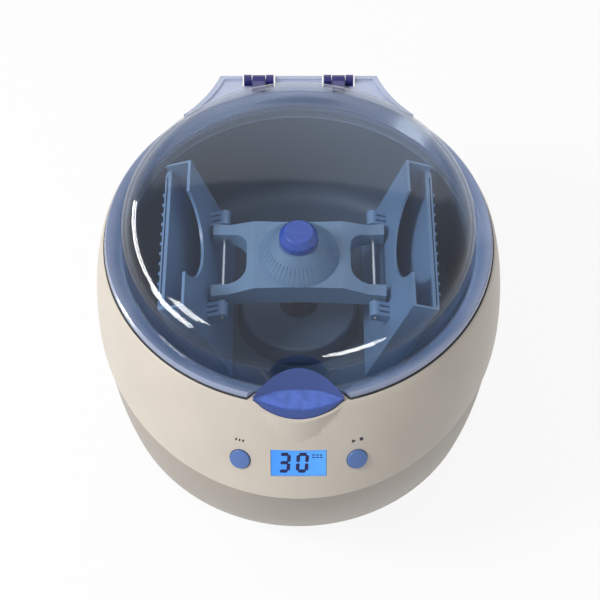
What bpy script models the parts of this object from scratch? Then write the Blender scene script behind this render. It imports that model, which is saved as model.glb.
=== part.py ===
"""Mini centrifuge for microplates: a rounded two-shell casing, a flip lid and a swing-out rotor.

Metres, +Z up. The root empty stands at the middle of the footprint, and every piece is laid
out from the rotor's axis, with the control panel facing -Y and the lid's hinge towards +Y.
"""
import math

import bmesh
import bpy
from mathutils import Matrix, Vector

MM = 0.001
FIT = 0.3 * MM
OVERRUN = 6 * MM
MERGE = 0.01 * MM
TURN_STEPS = 48
SMALL_STEPS = 24

# Heights of the drive, from the floor up to the bowl
FOOT_HEIGHT = 8 * MM
WALL = 3 * MM
CHASSIS_THICKNESS = 2.5 * MM
CHASSIS_BOTTOM = FOOT_HEIGHT + WALL + FIT
CHASSIS_TOP = CHASSIS_BOTTOM + CHASSIS_THICKNESS
MOUNT_HEIGHT = 12 * MM
MOTOR_PLATE_THICKNESS = 2.5 * MM
MOTOR_PLATE_BOTTOM = CHASSIS_TOP + FIT + MOUNT_HEIGHT + FIT
MOTOR_PLATE_TOP = MOTOR_PLATE_BOTTOM + MOTOR_PLATE_THICKNESS
MOTOR_HEIGHT = 52 * MM
MOTOR_BOTTOM = MOTOR_PLATE_TOP + FIT
MOTOR_TOP = MOTOR_BOTTOM + MOTOR_HEIGHT
BOWL_CLEARANCE = 6.8 * MM

# Rotor, from the height of its hanger pins
BOWL_FLOOR_HEIGHT = MOTOR_TOP + BOWL_CLEARANCE
PIN_RISE = 69 * MM
PIN_Z = BOWL_FLOOR_HEIGHT + PIN_RISE
PIN_X = 56 * MM
PIN_RADIUS = 1.5 * MM
PIN_OVERHANG = 16.5 * MM
SHAFT_RADIUS = 6 * MM
SHAFT_DEPTH = 83 * MM
SHAFT_BOTTOM = PIN_Z - SHAFT_DEPTH
COLLAR_RADIUS = 9.5 * MM
COLLAR_HEIGHT = 3 * MM
ARM_TOP_RISE = 6 * MM
ARM_HEIGHT = 13 * MM
YOKE_ARM_TOP = PIN_Z + ARM_TOP_RISE
YOKE_BOTTOM = YOKE_ARM_TOP - ARM_HEIGHT
YOKE_HALF_DEPTH = 33 * MM
YOKE_WAIST = 3 * MM
YOKE_ARM_WIDTH = 10.5 * MM
YOKE_FORK_HALF_WIDTH = YOKE_HALF_DEPTH - YOKE_ARM_WIDTH
YOKE_FORK_FLARE = 0.6 * MM
YOKE_FORK_ROOT = 38.5 * MM
YOKE_FORK_ROUND = 13 * MM
YOKE_CROWN = 6.5 * MM
YOKE_CROWN_TOP_HALF = 33 * MM
YOKE_CROWN_SLOPE = 19 * MM
YOKE_CROWN_REACH = YOKE_CROWN_TOP_HALF + YOKE_CROWN_SLOPE
BOSS_RADIUS = 30.5 * MM
BOSS_TOP_RADIUS = 16 * MM
BOSS_HEIGHT = 17 * MM
BOSS_STEPS = 40
HUB_RADIUS = 11 * MM
HUB_HEIGHT = 10 * MM
HUB_BOTTOM = YOKE_BOTTOM - HUB_HEIGHT
KNOB_RADIUS = 14.5 * MM
KNOB_TOP_RADIUS = 10.4 * MM
KNOB_HEIGHT = 10.5 * MM
KNOB_CHAMFER = 5 * MM
KNOB_SIDES = 16
KNOB_CAP = 4.3 * MM
KNOB_BOTTOM = YOKE_ARM_TOP + YOKE_CROWN + BOSS_HEIGHT + FIT
KNOB_TOP = KNOB_BOTTOM + KNOB_HEIGHT
SHAFT_TOP = KNOB_TOP - KNOB_CAP

# Plate carriers, measured upright about the hanger pin
CARRIER_OFFSET = 10.5 * MM
CARRIER_HALF_LENGTH = 66 * MM
CARRIER_BOTTOM = 51.8 * MM
CARRIER_HEIGHT = 99.2 * MM
CARRIER_LEAN = 18.1
CARRIER_INNER_WALL = 2.2 * MM
CARRIER_SLOT = 15.2 * MM
CARRIER_OUTER_WALL = 4.8 * MM
CARRIER_END_WALL = 1.7 * MM
CARRIER_FLOOR = 3 * MM
CARRIER_OUTER_DROP = 5.5 * MM
CARRIER_CORNER = 6 * MM
CARRIER_GROOVE = 1.1 * MM
CARRIER_GROOVE_DEPTH = 5 * MM
CARRIER_SKIN = 1.2 * MM
DIP_RADIUS = 37 * MM
DIP_RISE = 4 * MM
DIP_FLARE = 6 * MM
RIB_PITCH = 9 * MM
RIB_COUNT = 11
RIB_WIDTH = 2.4 * MM
RIB_PROUD = 3 * MM
RIB_TOP_DROP = 9 * MM
RIB_BOTTOM_RISE = 6 * MM
LUG_START = YOKE_HALF_DEPTH + 8 * FIT
LUG_LENGTH = 12.6 * MM
LUG_WEB = 3 * MM
LUG_RADIUS = 4.2 * MM
CARRIER_FAR = CARRIER_OFFSET + CARRIER_INNER_WALL + CARRIER_SLOT + CARRIER_OUTER_WALL
CARRIER_TOP = CARRIER_HEIGHT - CARRIER_BOTTOM
LEAN_SINE = math.sin(math.radians(CARRIER_LEAN))
LEAN_COSINE = math.cos(math.radians(CARRIER_LEAN))
SWEEP_X = PIN_X + (CARRIER_FAR - CARRIER_CORNER) * LEAN_COSINE + CARRIER_TOP * LEAN_SINE
SWEEP_RADIUS = math.hypot(SWEEP_X, CARRIER_HALF_LENGTH - CARRIER_CORNER) + CARRIER_CORNER

# Radii of the chamber, the casing and the lid, outward from the rotor's sweep
CHAMBER_GAP = 9.2 * MM
BOWL_CONE_WIDTH = 7.5 * MM
BOWL_FLANGE_WIDTH = 2.2 * MM
BOWL_LIP_RADIUS = SWEEP_RADIUS + CHAMBER_GAP
BOWL_FLANGE_RADIUS = BOWL_LIP_RADIUS + BOWL_CONE_WIDTH + BOWL_FLANGE_WIDTH
RIM_WIDTH = 4.7 * MM
RIM_ROUND = 1.6 * MM
RIM_INNER_RADIUS = BOWL_FLANGE_RADIUS + 2 * FIT
RIM_RADIUS = RIM_INNER_RADIUS + RIM_WIDTH
BELLY_BULGE = 8.5 * MM
FRONT_BULGE = 30 * MM
BELLY_RADIUS = RIM_RADIUS + BELLY_BULGE
FRONT_REACH = BELLY_RADIUS + FRONT_BULGE
LIP_OVERHANG = 2.2 * MM
BASE_TOP_RADIUS = BELLY_RADIUS - LIP_OVERHANG
BASE_EDGE_RADIUS = BELLY_RADIUS - BELLY_BULGE
BASE_FLANGE_WIDTH = 33.5 * MM
BASE_OPENING_RADIUS = BASE_EDGE_RADIUS - BASE_FLANGE_WIDTH
LID_SET_IN = 2.2 * MM
LID_BRIM_WIDTH = 11.8 * MM
LID_BRIM_ROUND = 1.5 * MM
LID_RADIUS = RIM_RADIUS - LID_SET_IN
LID_BRIM_CREST_RADIUS = LID_RADIUS - LID_BRIM_ROUND
LID_FOOT_RADIUS = LID_RADIUS - LID_BRIM_WIDTH
LID_WALL_RADIUS = LID_FOOT_RADIUS - LID_BRIM_ROUND

# Heights of the casing, from the hanger pins and the rim
RIM_RISE = 33 * MM
RIM_HEIGHT = PIN_Z + RIM_RISE
BAND_HEIGHT = 61 * MM
BELLY_HEIGHT = RIM_HEIGHT - BAND_HEIGHT
BASE_FILLET = 6 * MM
LIP_ROUND = 1.6 * MM
LEDGE_REACH = 3.2 * MM
LEDGE_DROP = 5.8 * MM
TONGUE_HEIGHT = 4 * MM

# Feet, chassis plate and case screws
FOOT_RADIUS = 11 * MM
FOOT_TAPER = 1.5 * MM
FOOT_CIRCLE_RADIUS = BASE_OPENING_RADIUS + FOOT_RADIUS
PLATE_OVERLAP = 13 * MM
SCREW_CIRCLE_RADIUS = BASE_OPENING_RADIUS + PLATE_OVERLAP / 2
FIRST_SCREW_ANGLE = 20.0
SCREW_RADIUS = 1.8 * MM
SCREW_HEAD_RADIUS = 4 * MM
SCREW_HEAD_HEIGHT = 2 * MM

# Chamber bowl and seals
BOWL_SET_DOWN = 3 * MM
BOWL_CONE_DEPTH = 11 * MM
BOWL_TOP = RIM_HEIGHT - BOWL_SET_DOWN
BOWL_LIP_HEIGHT = BOWL_TOP - BOWL_CONE_DEPTH
BOWL_DRAFT = 4.5 * MM
BOWL_CORNER = 14 * MM
BOWL_WALL = 2.5 * MM
BOWL_FLOOR_RADIUS = BOWL_LIP_RADIUS - BOWL_DRAFT - BOWL_CORNER
PLINTH_RADIUS = 47 * MM
PLINTH_HEIGHT = 19 * MM
PLINTH_DRAFT = 2 * MM
PLINTH_ROUND = 3 * MM
SHAFT_HOLE_RADIUS = SHAFT_RADIUS + BOWL_WALL * 1.6
SEAL_WIDTH = 1.8 * MM
SEAL_HEIGHT = 3.8 * MM

# Lid, from the rim up
LID_EDGE_BOTTOM = BOWL_TOP + SEAL_HEIGHT + 2 * FIT
BRIM_RISE = 6 * MM
LID_FOOT_DROP = 2 * MM
SKIRT_DROP = 6.5 * MM
DOME_RISE = 48 * MM
LID_BRIM_TOP = RIM_HEIGHT + BRIM_RISE
LID_FOOT_HEIGHT = RIM_HEIGHT - LID_FOOT_DROP
LID_SKIRT_BOTTOM = RIM_HEIGHT - SKIRT_DROP
LID_CREST_HEIGHT = RIM_HEIGHT + DOME_RISE
LID_SHOULDER_ROUND = 22 * MM
LID_CROWN = 8 * MM
LID_SHOULDER_HEIGHT = LID_CREST_HEIGHT - LID_CROWN - LID_SHOULDER_ROUND
LID_WALL = 2.5 * MM
NOTCH_WALL = 1.6 * MM

# Hinge and the lid's tab
HINGE_SET_BACK = 4.5 * MM
HINGE_RISE = 7.5 * MM
HINGE_Y = RIM_RADIUS + HINGE_SET_BACK
HINGE_Z = RIM_HEIGHT + HINGE_RISE
HINGE_X = 31 * MM
HINGE_BLOCK_WIDTH = 23 * MM
HINGE_BLOCK_DEPTH = 7.8 * MM
HINGE_BLOCK_HEIGHT = 32.5 * MM
HINGE_BLOCK_BOTTOM = HINGE_Z - HINGE_BLOCK_HEIGHT
HINGE_EAR_RADIUS = 3.9 * MM
HINGE_GAP = 0.6 * MM
HINGE_ARM_WIDTH = 10 * MM
HINGE_ARM_LENGTH = 12 * MM
HINGE_ARM_THICKNESS = 3.2 * MM
HINGE_KNUCKLE_RADIUS = HINGE_EAR_RADIUS - FIT
HINGE_PIN_RADIUS = 1.5 * MM
TAB_HALF_WIDTH = 61 * MM
TAB_FLARE_WIDTH = 27 * MM
TAB_FLARE_LENGTH = 40 * MM
TAB_OVERHANG = 3.6 * MM
TAB_REAR = HINGE_Y + TAB_OVERHANG
TAB_THICKNESS = 2.5 * MM
TAB_DROP = 4.2 * MM
TAB_BOTTOM = HINGE_Z - TAB_DROP
TAB_RIB_WIDTH = 3 * MM
TAB_RIB_HEIGHT = 2.2 * MM

# Latch
LATCH_HALF_LENGTH = 31 * MM
LATCH_OVERHANG = 7 * MM
LATCH_DEPTH = 25.3 * MM
LATCH_BACK_DEPTH = 5.3 * MM
LATCH_FRONT = RIM_RADIUS + LATCH_OVERHANG
LATCH_REAR = LATCH_FRONT - LATCH_DEPTH
LATCH_RIDGE_Y = LATCH_REAR + LATCH_BACK_DEPTH
LATCH_SEAT_RISE = 7 * MM
LATCH_BACK_RISE = 22.5 * MM
LATCH_FRONT_DROP = 2.5 * MM
LATCH_RIDGE_Z = RIM_HEIGHT + LATCH_SEAT_RISE
LATCH_TOP = RIM_HEIGHT + LATCH_BACK_RISE
LATCH_FRONT_Z = RIM_HEIGHT - LATCH_FRONT_DROP
LATCH_CROWN = 2.2 * MM
LATCH_POCKET_DEPTH = 8 * MM
LATCH_FLOOR = RIM_HEIGHT - LATCH_POCKET_DEPTH
LATCH_TRAVEL = 3 * MM
LATCH_STEM_WIDTH = 16 * MM
LATCH_STEM_DEPTH = 6 * MM
LATCH_STEM_SET_IN = 5.5 * MM
LATCH_STEM_LENGTH = 19 * MM
LATCH_STEM_Y = LATCH_FRONT - LATCH_STEM_SET_IN
LATCH_STEM_BOTTOM = LATCH_FLOOR - LATCH_STEM_LENGTH
POD_WALL = 1.6 * MM
POD_SKIRT = 14 * MM
POD_SHELF_THICKNESS = 2.5 * MM
POD_BOTTOM = LATCH_FLOOR - POD_SKIRT
POD_SHELF_BOTTOM = LATCH_FLOOR - POD_SHELF_THICKNESS
POD_SHELF_Y = RIM_INNER_RADIUS + 2 * FIT
POD_TOP_LIP = 1.2 * MM
POD_GAP = 1 * MM

# Control panel, laid out on the sloping front of the upper casing
PANEL_RISE = 26 * MM
PANEL_Z = BELLY_HEIGHT + PANEL_RISE
WINDOW_WIDTH = 38.6 * MM
WINDOW_HEIGHT = 20.8 * MM
WINDOW_DEPTH = 1.7 * MM
LCD_WIDTH = 42.5 * MM
LCD_HEIGHT = 25 * MM
BOARD_DEPTH = 16 * MM
BOARD_WIDTH = 94 * MM
BOARD_HEIGHT = 28 * MM
BOARD_THICKNESS = 1.6 * MM
STANDOFF_X = 32 * MM
STANDOFF_Y = 10.5 * MM
STANDOFF_RADIUS = 3 * MM
BUTTON_X = 40.5 * MM
BUTTON_DROP = 2 * MM
BUTTON_Z = PANEL_Z - BUTTON_DROP
BUTTON_RADIUS = 7.2 * MM
BUTTON_PROUD = 1.8 * MM
BUTTON_ROUND = 0.7 * MM
BUTTON_FLANGE_RADIUS = 8.8 * MM
BUTTON_FLANGE = 1.2 * MM
BUTTON_STEM_RADIUS = 2 * MM
BUTTON_TRAVEL = 1 * MM
SWITCH_SIDE = 6.2 * MM
SWITCH_HEIGHT = 3.6 * MM
SWITCH_TIP_RADIUS = 1.7 * MM
SWITCH_TIP_HEIGHT = 0.8 * MM

# Drive and electrics
MOUNT_CIRCLE_RADIUS = 44 * MM
MOUNT_RADIUS = 9 * MM
MOUNT_WAIST = 2 * MM
MOTOR_PLATE_RADIUS = 54 * MM
MOTOR_RADIUS = 36 * MM
MOTOR_EDGE = 3 * MM
MOTOR_NOSE_RADIUS = 14 * MM
MOTOR_NOSE_HEIGHT = 9 * MM
SHAFT_SEAL_RADIUS = 15 * MM
SHAFT_SEAL_HEIGHT = 3 * MM
SHAFT_SEAL_NECK_RADIUS = SHAFT_HOLE_RADIUS - FIT
LID_SWITCH_SIZE = (20 * MM, 6 * MM, 10 * MM)
LID_SWITCH_RADIUS = RIM_INNER_RADIUS
LID_SWITCH_ANGLE = -62.0
REAR_PANEL_HALF_WIDTH = 40 * MM
REAR_PANEL_HEIGHT = 36 * MM
REAR_PANEL_RISE = 40 * MM
REAR_PANEL_Z = FOOT_HEIGHT + REAR_PANEL_RISE
REAR_PANEL_SET_IN = 6 * MM
REAR_PANEL_FACE_Y = BASE_EDGE_RADIUS - REAR_PANEL_SET_IN
REAR_PANEL_DEPTH = 3 * MM
REAR_PANEL_MARGIN = 4 * MM
SOCKET_X = -12 * MM
SOCKET_WIDTH = 30.7 * MM
SOCKET_HEIGHT = 22.5 * MM
SOCKET_HOLE_WIDTH = 27 * MM
SOCKET_HOLE_HEIGHT = 19.6 * MM
SOCKET_FLANGE = 2 * MM
SOCKET_BODY_DEPTH = 16 * MM
SOCKET_RECESS_DEPTH = 13 * MM
SOCKET_RECESS_MARGIN = 2.2 * MM
SOCKET_BLADE = (2 * MM, 8.5 * MM, 4 * MM)
SOCKET_BLADE_SPACING = 7 * MM
POWER_SWITCH_X = 21 * MM
POWER_SWITCH_WIDTH = 15 * MM
POWER_SWITCH_HEIGHT = 21 * MM
POWER_SWITCH_HOLE_WIDTH = 12.9 * MM
POWER_SWITCH_HOLE_HEIGHT = 19 * MM
ROCKER_CLEARANCE = 0.4 * MM
ROCKER_TILT = 12.0
ROCKER_RADIUS = 8.5 * MM
ROCKER_PIVOT_DEPTH = 3.8 * MM
ROCKER_PROUD = 1.2 * MM
FRAME_WALL = 1.6 * MM

ROOT_SHIFT = (FRONT_REACH - BELLY_RADIUS) / 2
FRONT_STRETCH_SHARE = FRONT_REACH / BELLY_RADIUS - 1

BEIGE = (0.80, 0.76, 0.70)
BEIGE_DARK = (0.60, 0.56, 0.51)
SLATE = (0.16, 0.23, 0.31)
ROTOR_BLUE = (0.22, 0.34, 0.48)
CARRIER_BLUE = (0.27, 0.38, 0.52)
KNOB_BLUE = (0.03, 0.10, 0.45)
LATCH_BLUE = (0.12, 0.20, 0.48)
KEY_BLUE = (0.20, 0.32, 0.58)
NAVY = (0.02, 0.02, 0.20)
LID_TINT = (0.45, 0.55, 0.80)
STEEL = (0.66, 0.67, 0.68)
DARK_STEEL = (0.32, 0.33, 0.35)
BLACK = (0.03, 0.03, 0.035)
RUBBER_GREY = (0.07, 0.07, 0.08)
LCD_BLUE = (0.08, 0.36, 0.95)
BOARD_GREEN = (0.04, 0.25, 0.12)


# Scene and object helpers
def clear_scene():
    """Empty the scene that the script is run in."""
    for item in list(bpy.data.objects):
        bpy.data.objects.remove(item, do_unlink=True)


def new_collection(name):
    """Make a collection and link it to the scene."""
    made = bpy.data.collections.new(name)
    bpy.context.scene.collection.children.link(made)
    return made


def make_material(name, colour, roughness, metallic=0.0):
    """Make a Principled material of one piece."""
    made = bpy.data.materials.new(name)
    made.use_nodes = True
    shader = made.node_tree.nodes["Principled BSDF"]
    shader.inputs["Base Color"].default_value = (*colour, 1.0)
    shader.inputs["Roughness"].default_value = roughness
    shader.inputs["Metallic"].default_value = metallic
    return made


def part(name, mesh, colour, roughness, metallic=0.0, origin=None):
    """Add a piece to the model, with its origin moved to a joint's axis where it turns."""
    piece = bpy.data.objects.new(name, mesh)
    mesh.materials.clear()
    mesh.materials.append(make_material(name, colour, roughness, metallic))
    PARTS.objects.link(piece)
    piece.parent = ROOT
    if origin is not None:
        mesh.transform(Matrix.Translation(-Vector(origin)))
        piece.location = origin
    return piece


def cutter(name, mesh):
    """Add a tool body, which only shapes other pieces."""
    tool = bpy.data.objects.new(name, mesh)
    CUTTERS.objects.link(tool)
    tool.parent = ROOT
    tool.hide_render = True
    tool.display_type = "WIRE"
    return tool


def combine(piece, tool, operation, solver="EXACT"):
    """Add one Boolean to a piece."""
    step = piece.modifiers.new(operation.lower() + "_" + tool.name, "BOOLEAN")
    step.operation = operation
    step.solver = solver
    step.object = tool
    return piece


def cut(piece, *tools):
    """Cut tool bodies out of a piece."""
    for tool in tools:
        combine(piece, tool, "DIFFERENCE")
    return piece


def join(piece, *tools):
    """Join tool bodies to a piece."""
    for tool in tools:
        combine(piece, tool, "UNION")
    return piece


def round_edges(piece, width, segments=2, angle=40.0):
    """Round the sharp edges of a piece."""
    step = piece.modifiers.new("rounded_edges", "BEVEL")
    step.width = width
    step.segments = segments
    step.limit_method = "ANGLE"
    step.angle_limit = math.radians(angle)
    step.use_clamp_overlap = True
    return piece


def smooth(piece, angle=35.0):
    """Shade a piece smooth, with its corners kept crisp."""
    piece.data.shade_smooth()
    piece.data.set_sharp_from_angle(angle=math.radians(angle))
    return piece


# Mesh helpers
def evaluated_mesh(item):
    """Read an object's evaluated shape as a new mesh with its caps welded."""
    graph = bpy.context.evaluated_depsgraph_get()
    made = bpy.data.meshes.new_from_object(item.evaluated_get(graph))
    made.transform(item.matrix_world)
    work = bmesh.new()
    work.from_mesh(made)
    bmesh.ops.remove_doubles(work, verts=work.verts, dist=MERGE)
    work.to_mesh(made)
    work.free()
    return made


def turned(name, profile, steps=TURN_STEPS, ring=False):
    """Turn a profile of radius and height pairs, listed down its outer side, about Z."""
    outline = bpy.data.meshes.new(name + "_profile")
    edges = [(number, number + 1) for number in range(len(profile) - 1)]
    if ring:
        edges.append((len(profile) - 1, 0))
    outline.from_pydata([(radius, 0, height) for radius, height in profile], edges, [])
    item = bpy.data.objects.new(name + "_profile", outline)
    bpy.context.scene.collection.objects.link(item)
    screw = item.modifiers.new("turn", "SCREW")
    screw.axis = "Z"
    screw.steps = steps
    screw.render_steps = steps
    screw.use_merge_vertices = True
    screw.merge_threshold = MERGE
    made = evaluated_mesh(item)
    bpy.data.objects.remove(item, do_unlink=True)
    bpy.data.meshes.remove(outline)
    made.name = name
    return made


def extruded(name, outlines, low, high):
    """Raise flat outlines, the first one outer and the rest holes, from low to high along Z."""
    curve = bpy.data.curves.new(name + "_outline", "CURVE")
    curve.dimensions = "2D"
    curve.fill_mode = "BOTH"
    curve.extrude = (high - low) / 2
    for points in outlines:
        spline = curve.splines.new("POLY")
        spline.points.add(len(points) - 1)
        for point, place in zip(spline.points, points):
            point.co = (place[0], place[1], 0, 1)
        spline.use_cyclic_u = True
    item = bpy.data.objects.new(name + "_outline", curve)
    bpy.context.scene.collection.objects.link(item)
    item.location = (0, 0, (high + low) / 2)
    bpy.context.view_layer.update()
    made = evaluated_mesh(item)
    bpy.data.objects.remove(item, do_unlink=True)
    bpy.data.curves.remove(curve)
    made.name = name
    return made


def box(name, size, centre, turn=None):
    """Make a box of a size about a centre, turned about that centre where a turn is given."""
    work = bmesh.new()
    bmesh.ops.create_cube(work, size=1.0)
    bmesh.ops.scale(work, vec=size, verts=work.verts)
    place = Matrix.Translation(centre)
    if turn is not None:
        place = place @ turn.to_4x4()
    bmesh.ops.transform(work, matrix=place, verts=work.verts)
    made = bpy.data.meshes.new(name)
    work.to_mesh(made)
    work.free()
    return made


def rod(name, radius, start, end, steps=SMALL_STEPS, end_radius=None):
    """Make a round rod, or a cone with another end radius, between two points."""
    start = Vector(start)
    end = Vector(end)
    work = bmesh.new()
    last = radius if end_radius is None else end_radius
    length = (end - start).length
    bmesh.ops.create_cone(work, cap_ends=True, segments=steps, radius1=radius, radius2=last, depth=length)
    turn = (end - start).to_track_quat("Z", "Y").to_matrix().to_4x4()
    bmesh.ops.transform(work, matrix=Matrix.Translation((start + end) / 2) @ turn, verts=work.verts)
    made = bpy.data.meshes.new(name)
    work.to_mesh(made)
    work.free()
    return made


def arc(centre, radius, start, end, count):
    """List points on an arc between two angles in degrees."""
    points = []
    for number in range(count + 1):
        angle = math.radians(start + (end - start) * number / count)
        points.append((centre[0] + radius * math.cos(angle), centre[1] + radius * math.sin(angle)))
    return points


def bow(start, end, rise, count):
    """List points on a shallow arc from start to end that rises to the right of its chord."""
    chord = math.hypot(end[0] - start[0], end[1] - start[1])
    along = ((end[0] - start[0]) / chord, (end[1] - start[1]) / chord)
    side = (along[1], -along[0])
    points = []
    for number in range(count + 1):
        share = number / count
        lift = rise * 4 * share * (1 - share)
        points.append((start[0] + along[0] * chord * share + side[0] * lift,
                       start[1] + along[1] * chord * share + side[1] * lift))
    return points


# Form of the casing
def front_stretch(height):
    """Say how far the casing's front half is drawn forward at a height."""
    if height <= FOOT_HEIGHT or height >= RIM_HEIGHT:
        return 1.0
    if height <= BELLY_HEIGHT:
        share = (height - FOOT_HEIGHT) / (BELLY_HEIGHT - FOOT_HEIGHT)
        return 1.0 + FRONT_STRETCH_SHARE * math.sin(math.pi / 2 * share)
    fullest = BELLY_HEIGHT + LIP_ROUND
    return 1.0 + FRONT_STRETCH_SHARE * min(1.0, (RIM_HEIGHT - height) / (RIM_HEIGHT - fullest))


def stretch_front(mesh, kept_radius=0.0):
    """Draw the front half of a turned shell forward, apart from what lies inside a radius."""
    for vertex in mesh.vertices:
        if vertex.co.y < 0 and vertex.co.xy.length > kept_radius:
            vertex.co.y *= front_stretch(vertex.co.z)
    return mesh


def housing_radius(height):
    """Give the upper casing's side radius at a height."""
    share = (height - BELLY_HEIGHT) / (RIM_HEIGHT - BELLY_HEIGHT)
    return RIM_RADIUS + (BELLY_RADIUS - RIM_RADIUS) * (1 - share * share)


def base_radius(height):
    """Give the lower casing's side radius at a height."""
    low = FOOT_HEIGHT + BASE_FILLET
    share = (height - low) / (BELLY_HEIGHT - low)
    return BASE_EDGE_RADIUS + (BASE_TOP_RADIUS - BASE_EDGE_RADIUS) * math.sin(math.pi / 2 * share)


def front_point(x, height):
    """Give the point of the upper casing's front at a place across and a height."""
    radius = housing_radius(height)
    reach = radius * front_stretch(height)
    return Vector((x, -reach * math.sqrt(1 - (x / radius) ** 2), height))


def front_normal(x, height):
    """Give the outward direction of the upper casing's front at a place."""
    across = front_point(x + MM, height) - front_point(x - MM, height)
    upward = front_point(x, height + MM) - front_point(x, height - MM)
    return across.cross(upward).normalized()


def front_turn(x, height):
    """Give the turn that lays local X across the panel, Y up its slope and Z outward."""
    outward = front_normal(x, height)
    across = Vector((0, 0, 1)).cross(outward).normalized()
    upward = outward.cross(across)
    return Matrix((across, upward, outward)).transposed()


def heights(low, high, count):
    """List heights from high down to low."""
    return [high + (low - high) * number / count for number in range(count + 1)]


def base_shell_profile():
    """List the lower casing's wall, from the tongue that the upper casing sits over."""
    tongue_radius = BELLY_RADIUS - WALL - 4 * FIT
    top = BELLY_HEIGHT - FIT
    floor_top = FOOT_HEIGHT + WALL
    profile = [(tongue_radius - WALL, BELLY_HEIGHT + TONGUE_HEIGHT), (tongue_radius, BELLY_HEIGHT + TONGUE_HEIGHT),
               (tongue_radius, top)]
    profile += [(base_radius(height), height) for height in heights(FOOT_HEIGHT + BASE_FILLET, top, 6)]
    profile += arc((BASE_EDGE_RADIUS - BASE_FILLET, FOOT_HEIGHT + BASE_FILLET), BASE_FILLET, -30, -90, 2)
    profile += [(BASE_OPENING_RADIUS, FOOT_HEIGHT), (BASE_OPENING_RADIUS, floor_top)]
    profile += [(base_radius(height) - WALL, height)
                for height in reversed(heights(floor_top, BELLY_HEIGHT - 2 * WALL, 4))]
    return profile


def housing_profile():
    """List the upper casing's wall, with the ledge that carries the bowl."""
    edge = BELLY_HEIGHT + LIP_ROUND
    ledge_radius = RIM_INNER_RADIUS - LEDGE_REACH
    ledge_top = RIM_HEIGHT - LEDGE_DROP
    inner_wall = [(housing_radius(height) - WALL, height)
                  for height in reversed(heights(BELLY_HEIGHT, ledge_top - 2 * WALL, 3))]
    profile = [(RIM_INNER_RADIUS, RIM_HEIGHT)]
    profile += arc((RIM_RADIUS - RIM_ROUND, RIM_HEIGHT - RIM_ROUND), RIM_ROUND, 90, 20, 2)
    profile += [(housing_radius(height), height) for height in heights(edge, RIM_HEIGHT - 2 * RIM_ROUND, 7)]
    profile += arc((BELLY_RADIUS - LIP_ROUND, edge), LIP_ROUND, -45, -90, 1)
    profile += inner_wall
    profile += [(housing_radius(ledge_top - WALL) - WALL, ledge_top - WALL), (ledge_radius, ledge_top - WALL),
                (ledge_radius, ledge_top), (RIM_INNER_RADIUS, ledge_top)]
    return profile


def bowl_profile():
    """List the chamber bowl's wall: flange, cone, lip, wall, floor and raised plinth."""
    crest = BOWL_FLANGE_RADIUS - BOWL_FLANGE_WIDTH
    under_crest = crest - BOWL_WALL / 3
    corner_centre = (BOWL_FLOOR_RADIUS, BOWL_FLOOR_HEIGHT + BOWL_CORNER)
    plinth_top = BOWL_FLOOR_HEIGHT + PLINTH_HEIGHT
    plinth_edge = PLINTH_RADIUS - PLINTH_DRAFT
    under_floor = BOWL_FLOOR_HEIGHT - BOWL_WALL
    profile = [(crest, BOWL_TOP), (BOWL_FLANGE_RADIUS, BOWL_TOP), (BOWL_FLANGE_RADIUS, BOWL_TOP - BOWL_WALL),
               (under_crest, BOWL_TOP - BOWL_WALL), (BOWL_LIP_RADIUS + BOWL_WALL, BOWL_LIP_HEIGHT - BOWL_WALL / 2)]
    profile += arc(corner_centre, BOWL_CORNER + BOWL_WALL, 0, -90, 4)
    profile += [(PLINTH_RADIUS - BOWL_WALL, under_floor), (plinth_edge - BOWL_WALL, plinth_top - BOWL_WALL),
                (SHAFT_HOLE_RADIUS, plinth_top - BOWL_WALL), (SHAFT_HOLE_RADIUS, plinth_top),
                (plinth_edge - PLINTH_ROUND, plinth_top), (plinth_edge, plinth_top - PLINTH_ROUND / 2),
                (PLINTH_RADIUS, BOWL_FLOOR_HEIGHT + PLINTH_ROUND / 2),
                (PLINTH_RADIUS + PLINTH_ROUND / 2, BOWL_FLOOR_HEIGHT)]
    profile += arc(corner_centre, BOWL_CORNER, -90, 0, 4)
    profile += [(BOWL_LIP_RADIUS, BOWL_LIP_HEIGHT)]
    return profile


def dome_profile(inset, bottom):
    """List the lid's crown, shoulder and wall, drawn in by an inset, down to a height."""
    wall_radius = LID_WALL_RADIUS - inset
    round_radius = LID_SHOULDER_ROUND - inset
    shoulder_centre = (LID_WALL_RADIUS - LID_SHOULDER_ROUND, LID_SHOULDER_HEIGHT)
    crown_edge = shoulder_centre[0]
    profile = []
    for number in range(4):
        share = number / 4
        profile.append((crown_edge * share, LID_CREST_HEIGHT - inset - LID_CROWN * share * share))
    profile += arc(shoulder_centre, round_radius, 90, 0, 5)
    profile.append((wall_radius, bottom))
    return profile


def pod_outline(clearance=0.0):
    """List the latch's pointed oval in plan, grown by a clearance."""
    middle = -(LATCH_REAR + LATCH_FRONT) / 2
    half_depth = (LATCH_FRONT - LATCH_REAR) / 2 + clearance
    half_length = LATCH_HALF_LENGTH + clearance * 2
    right = (half_length, middle)
    left = (-half_length, middle)
    return bow(right, left, half_depth, 10)[:-1] + bow(left, right, half_depth, 10)[:-1]


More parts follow.
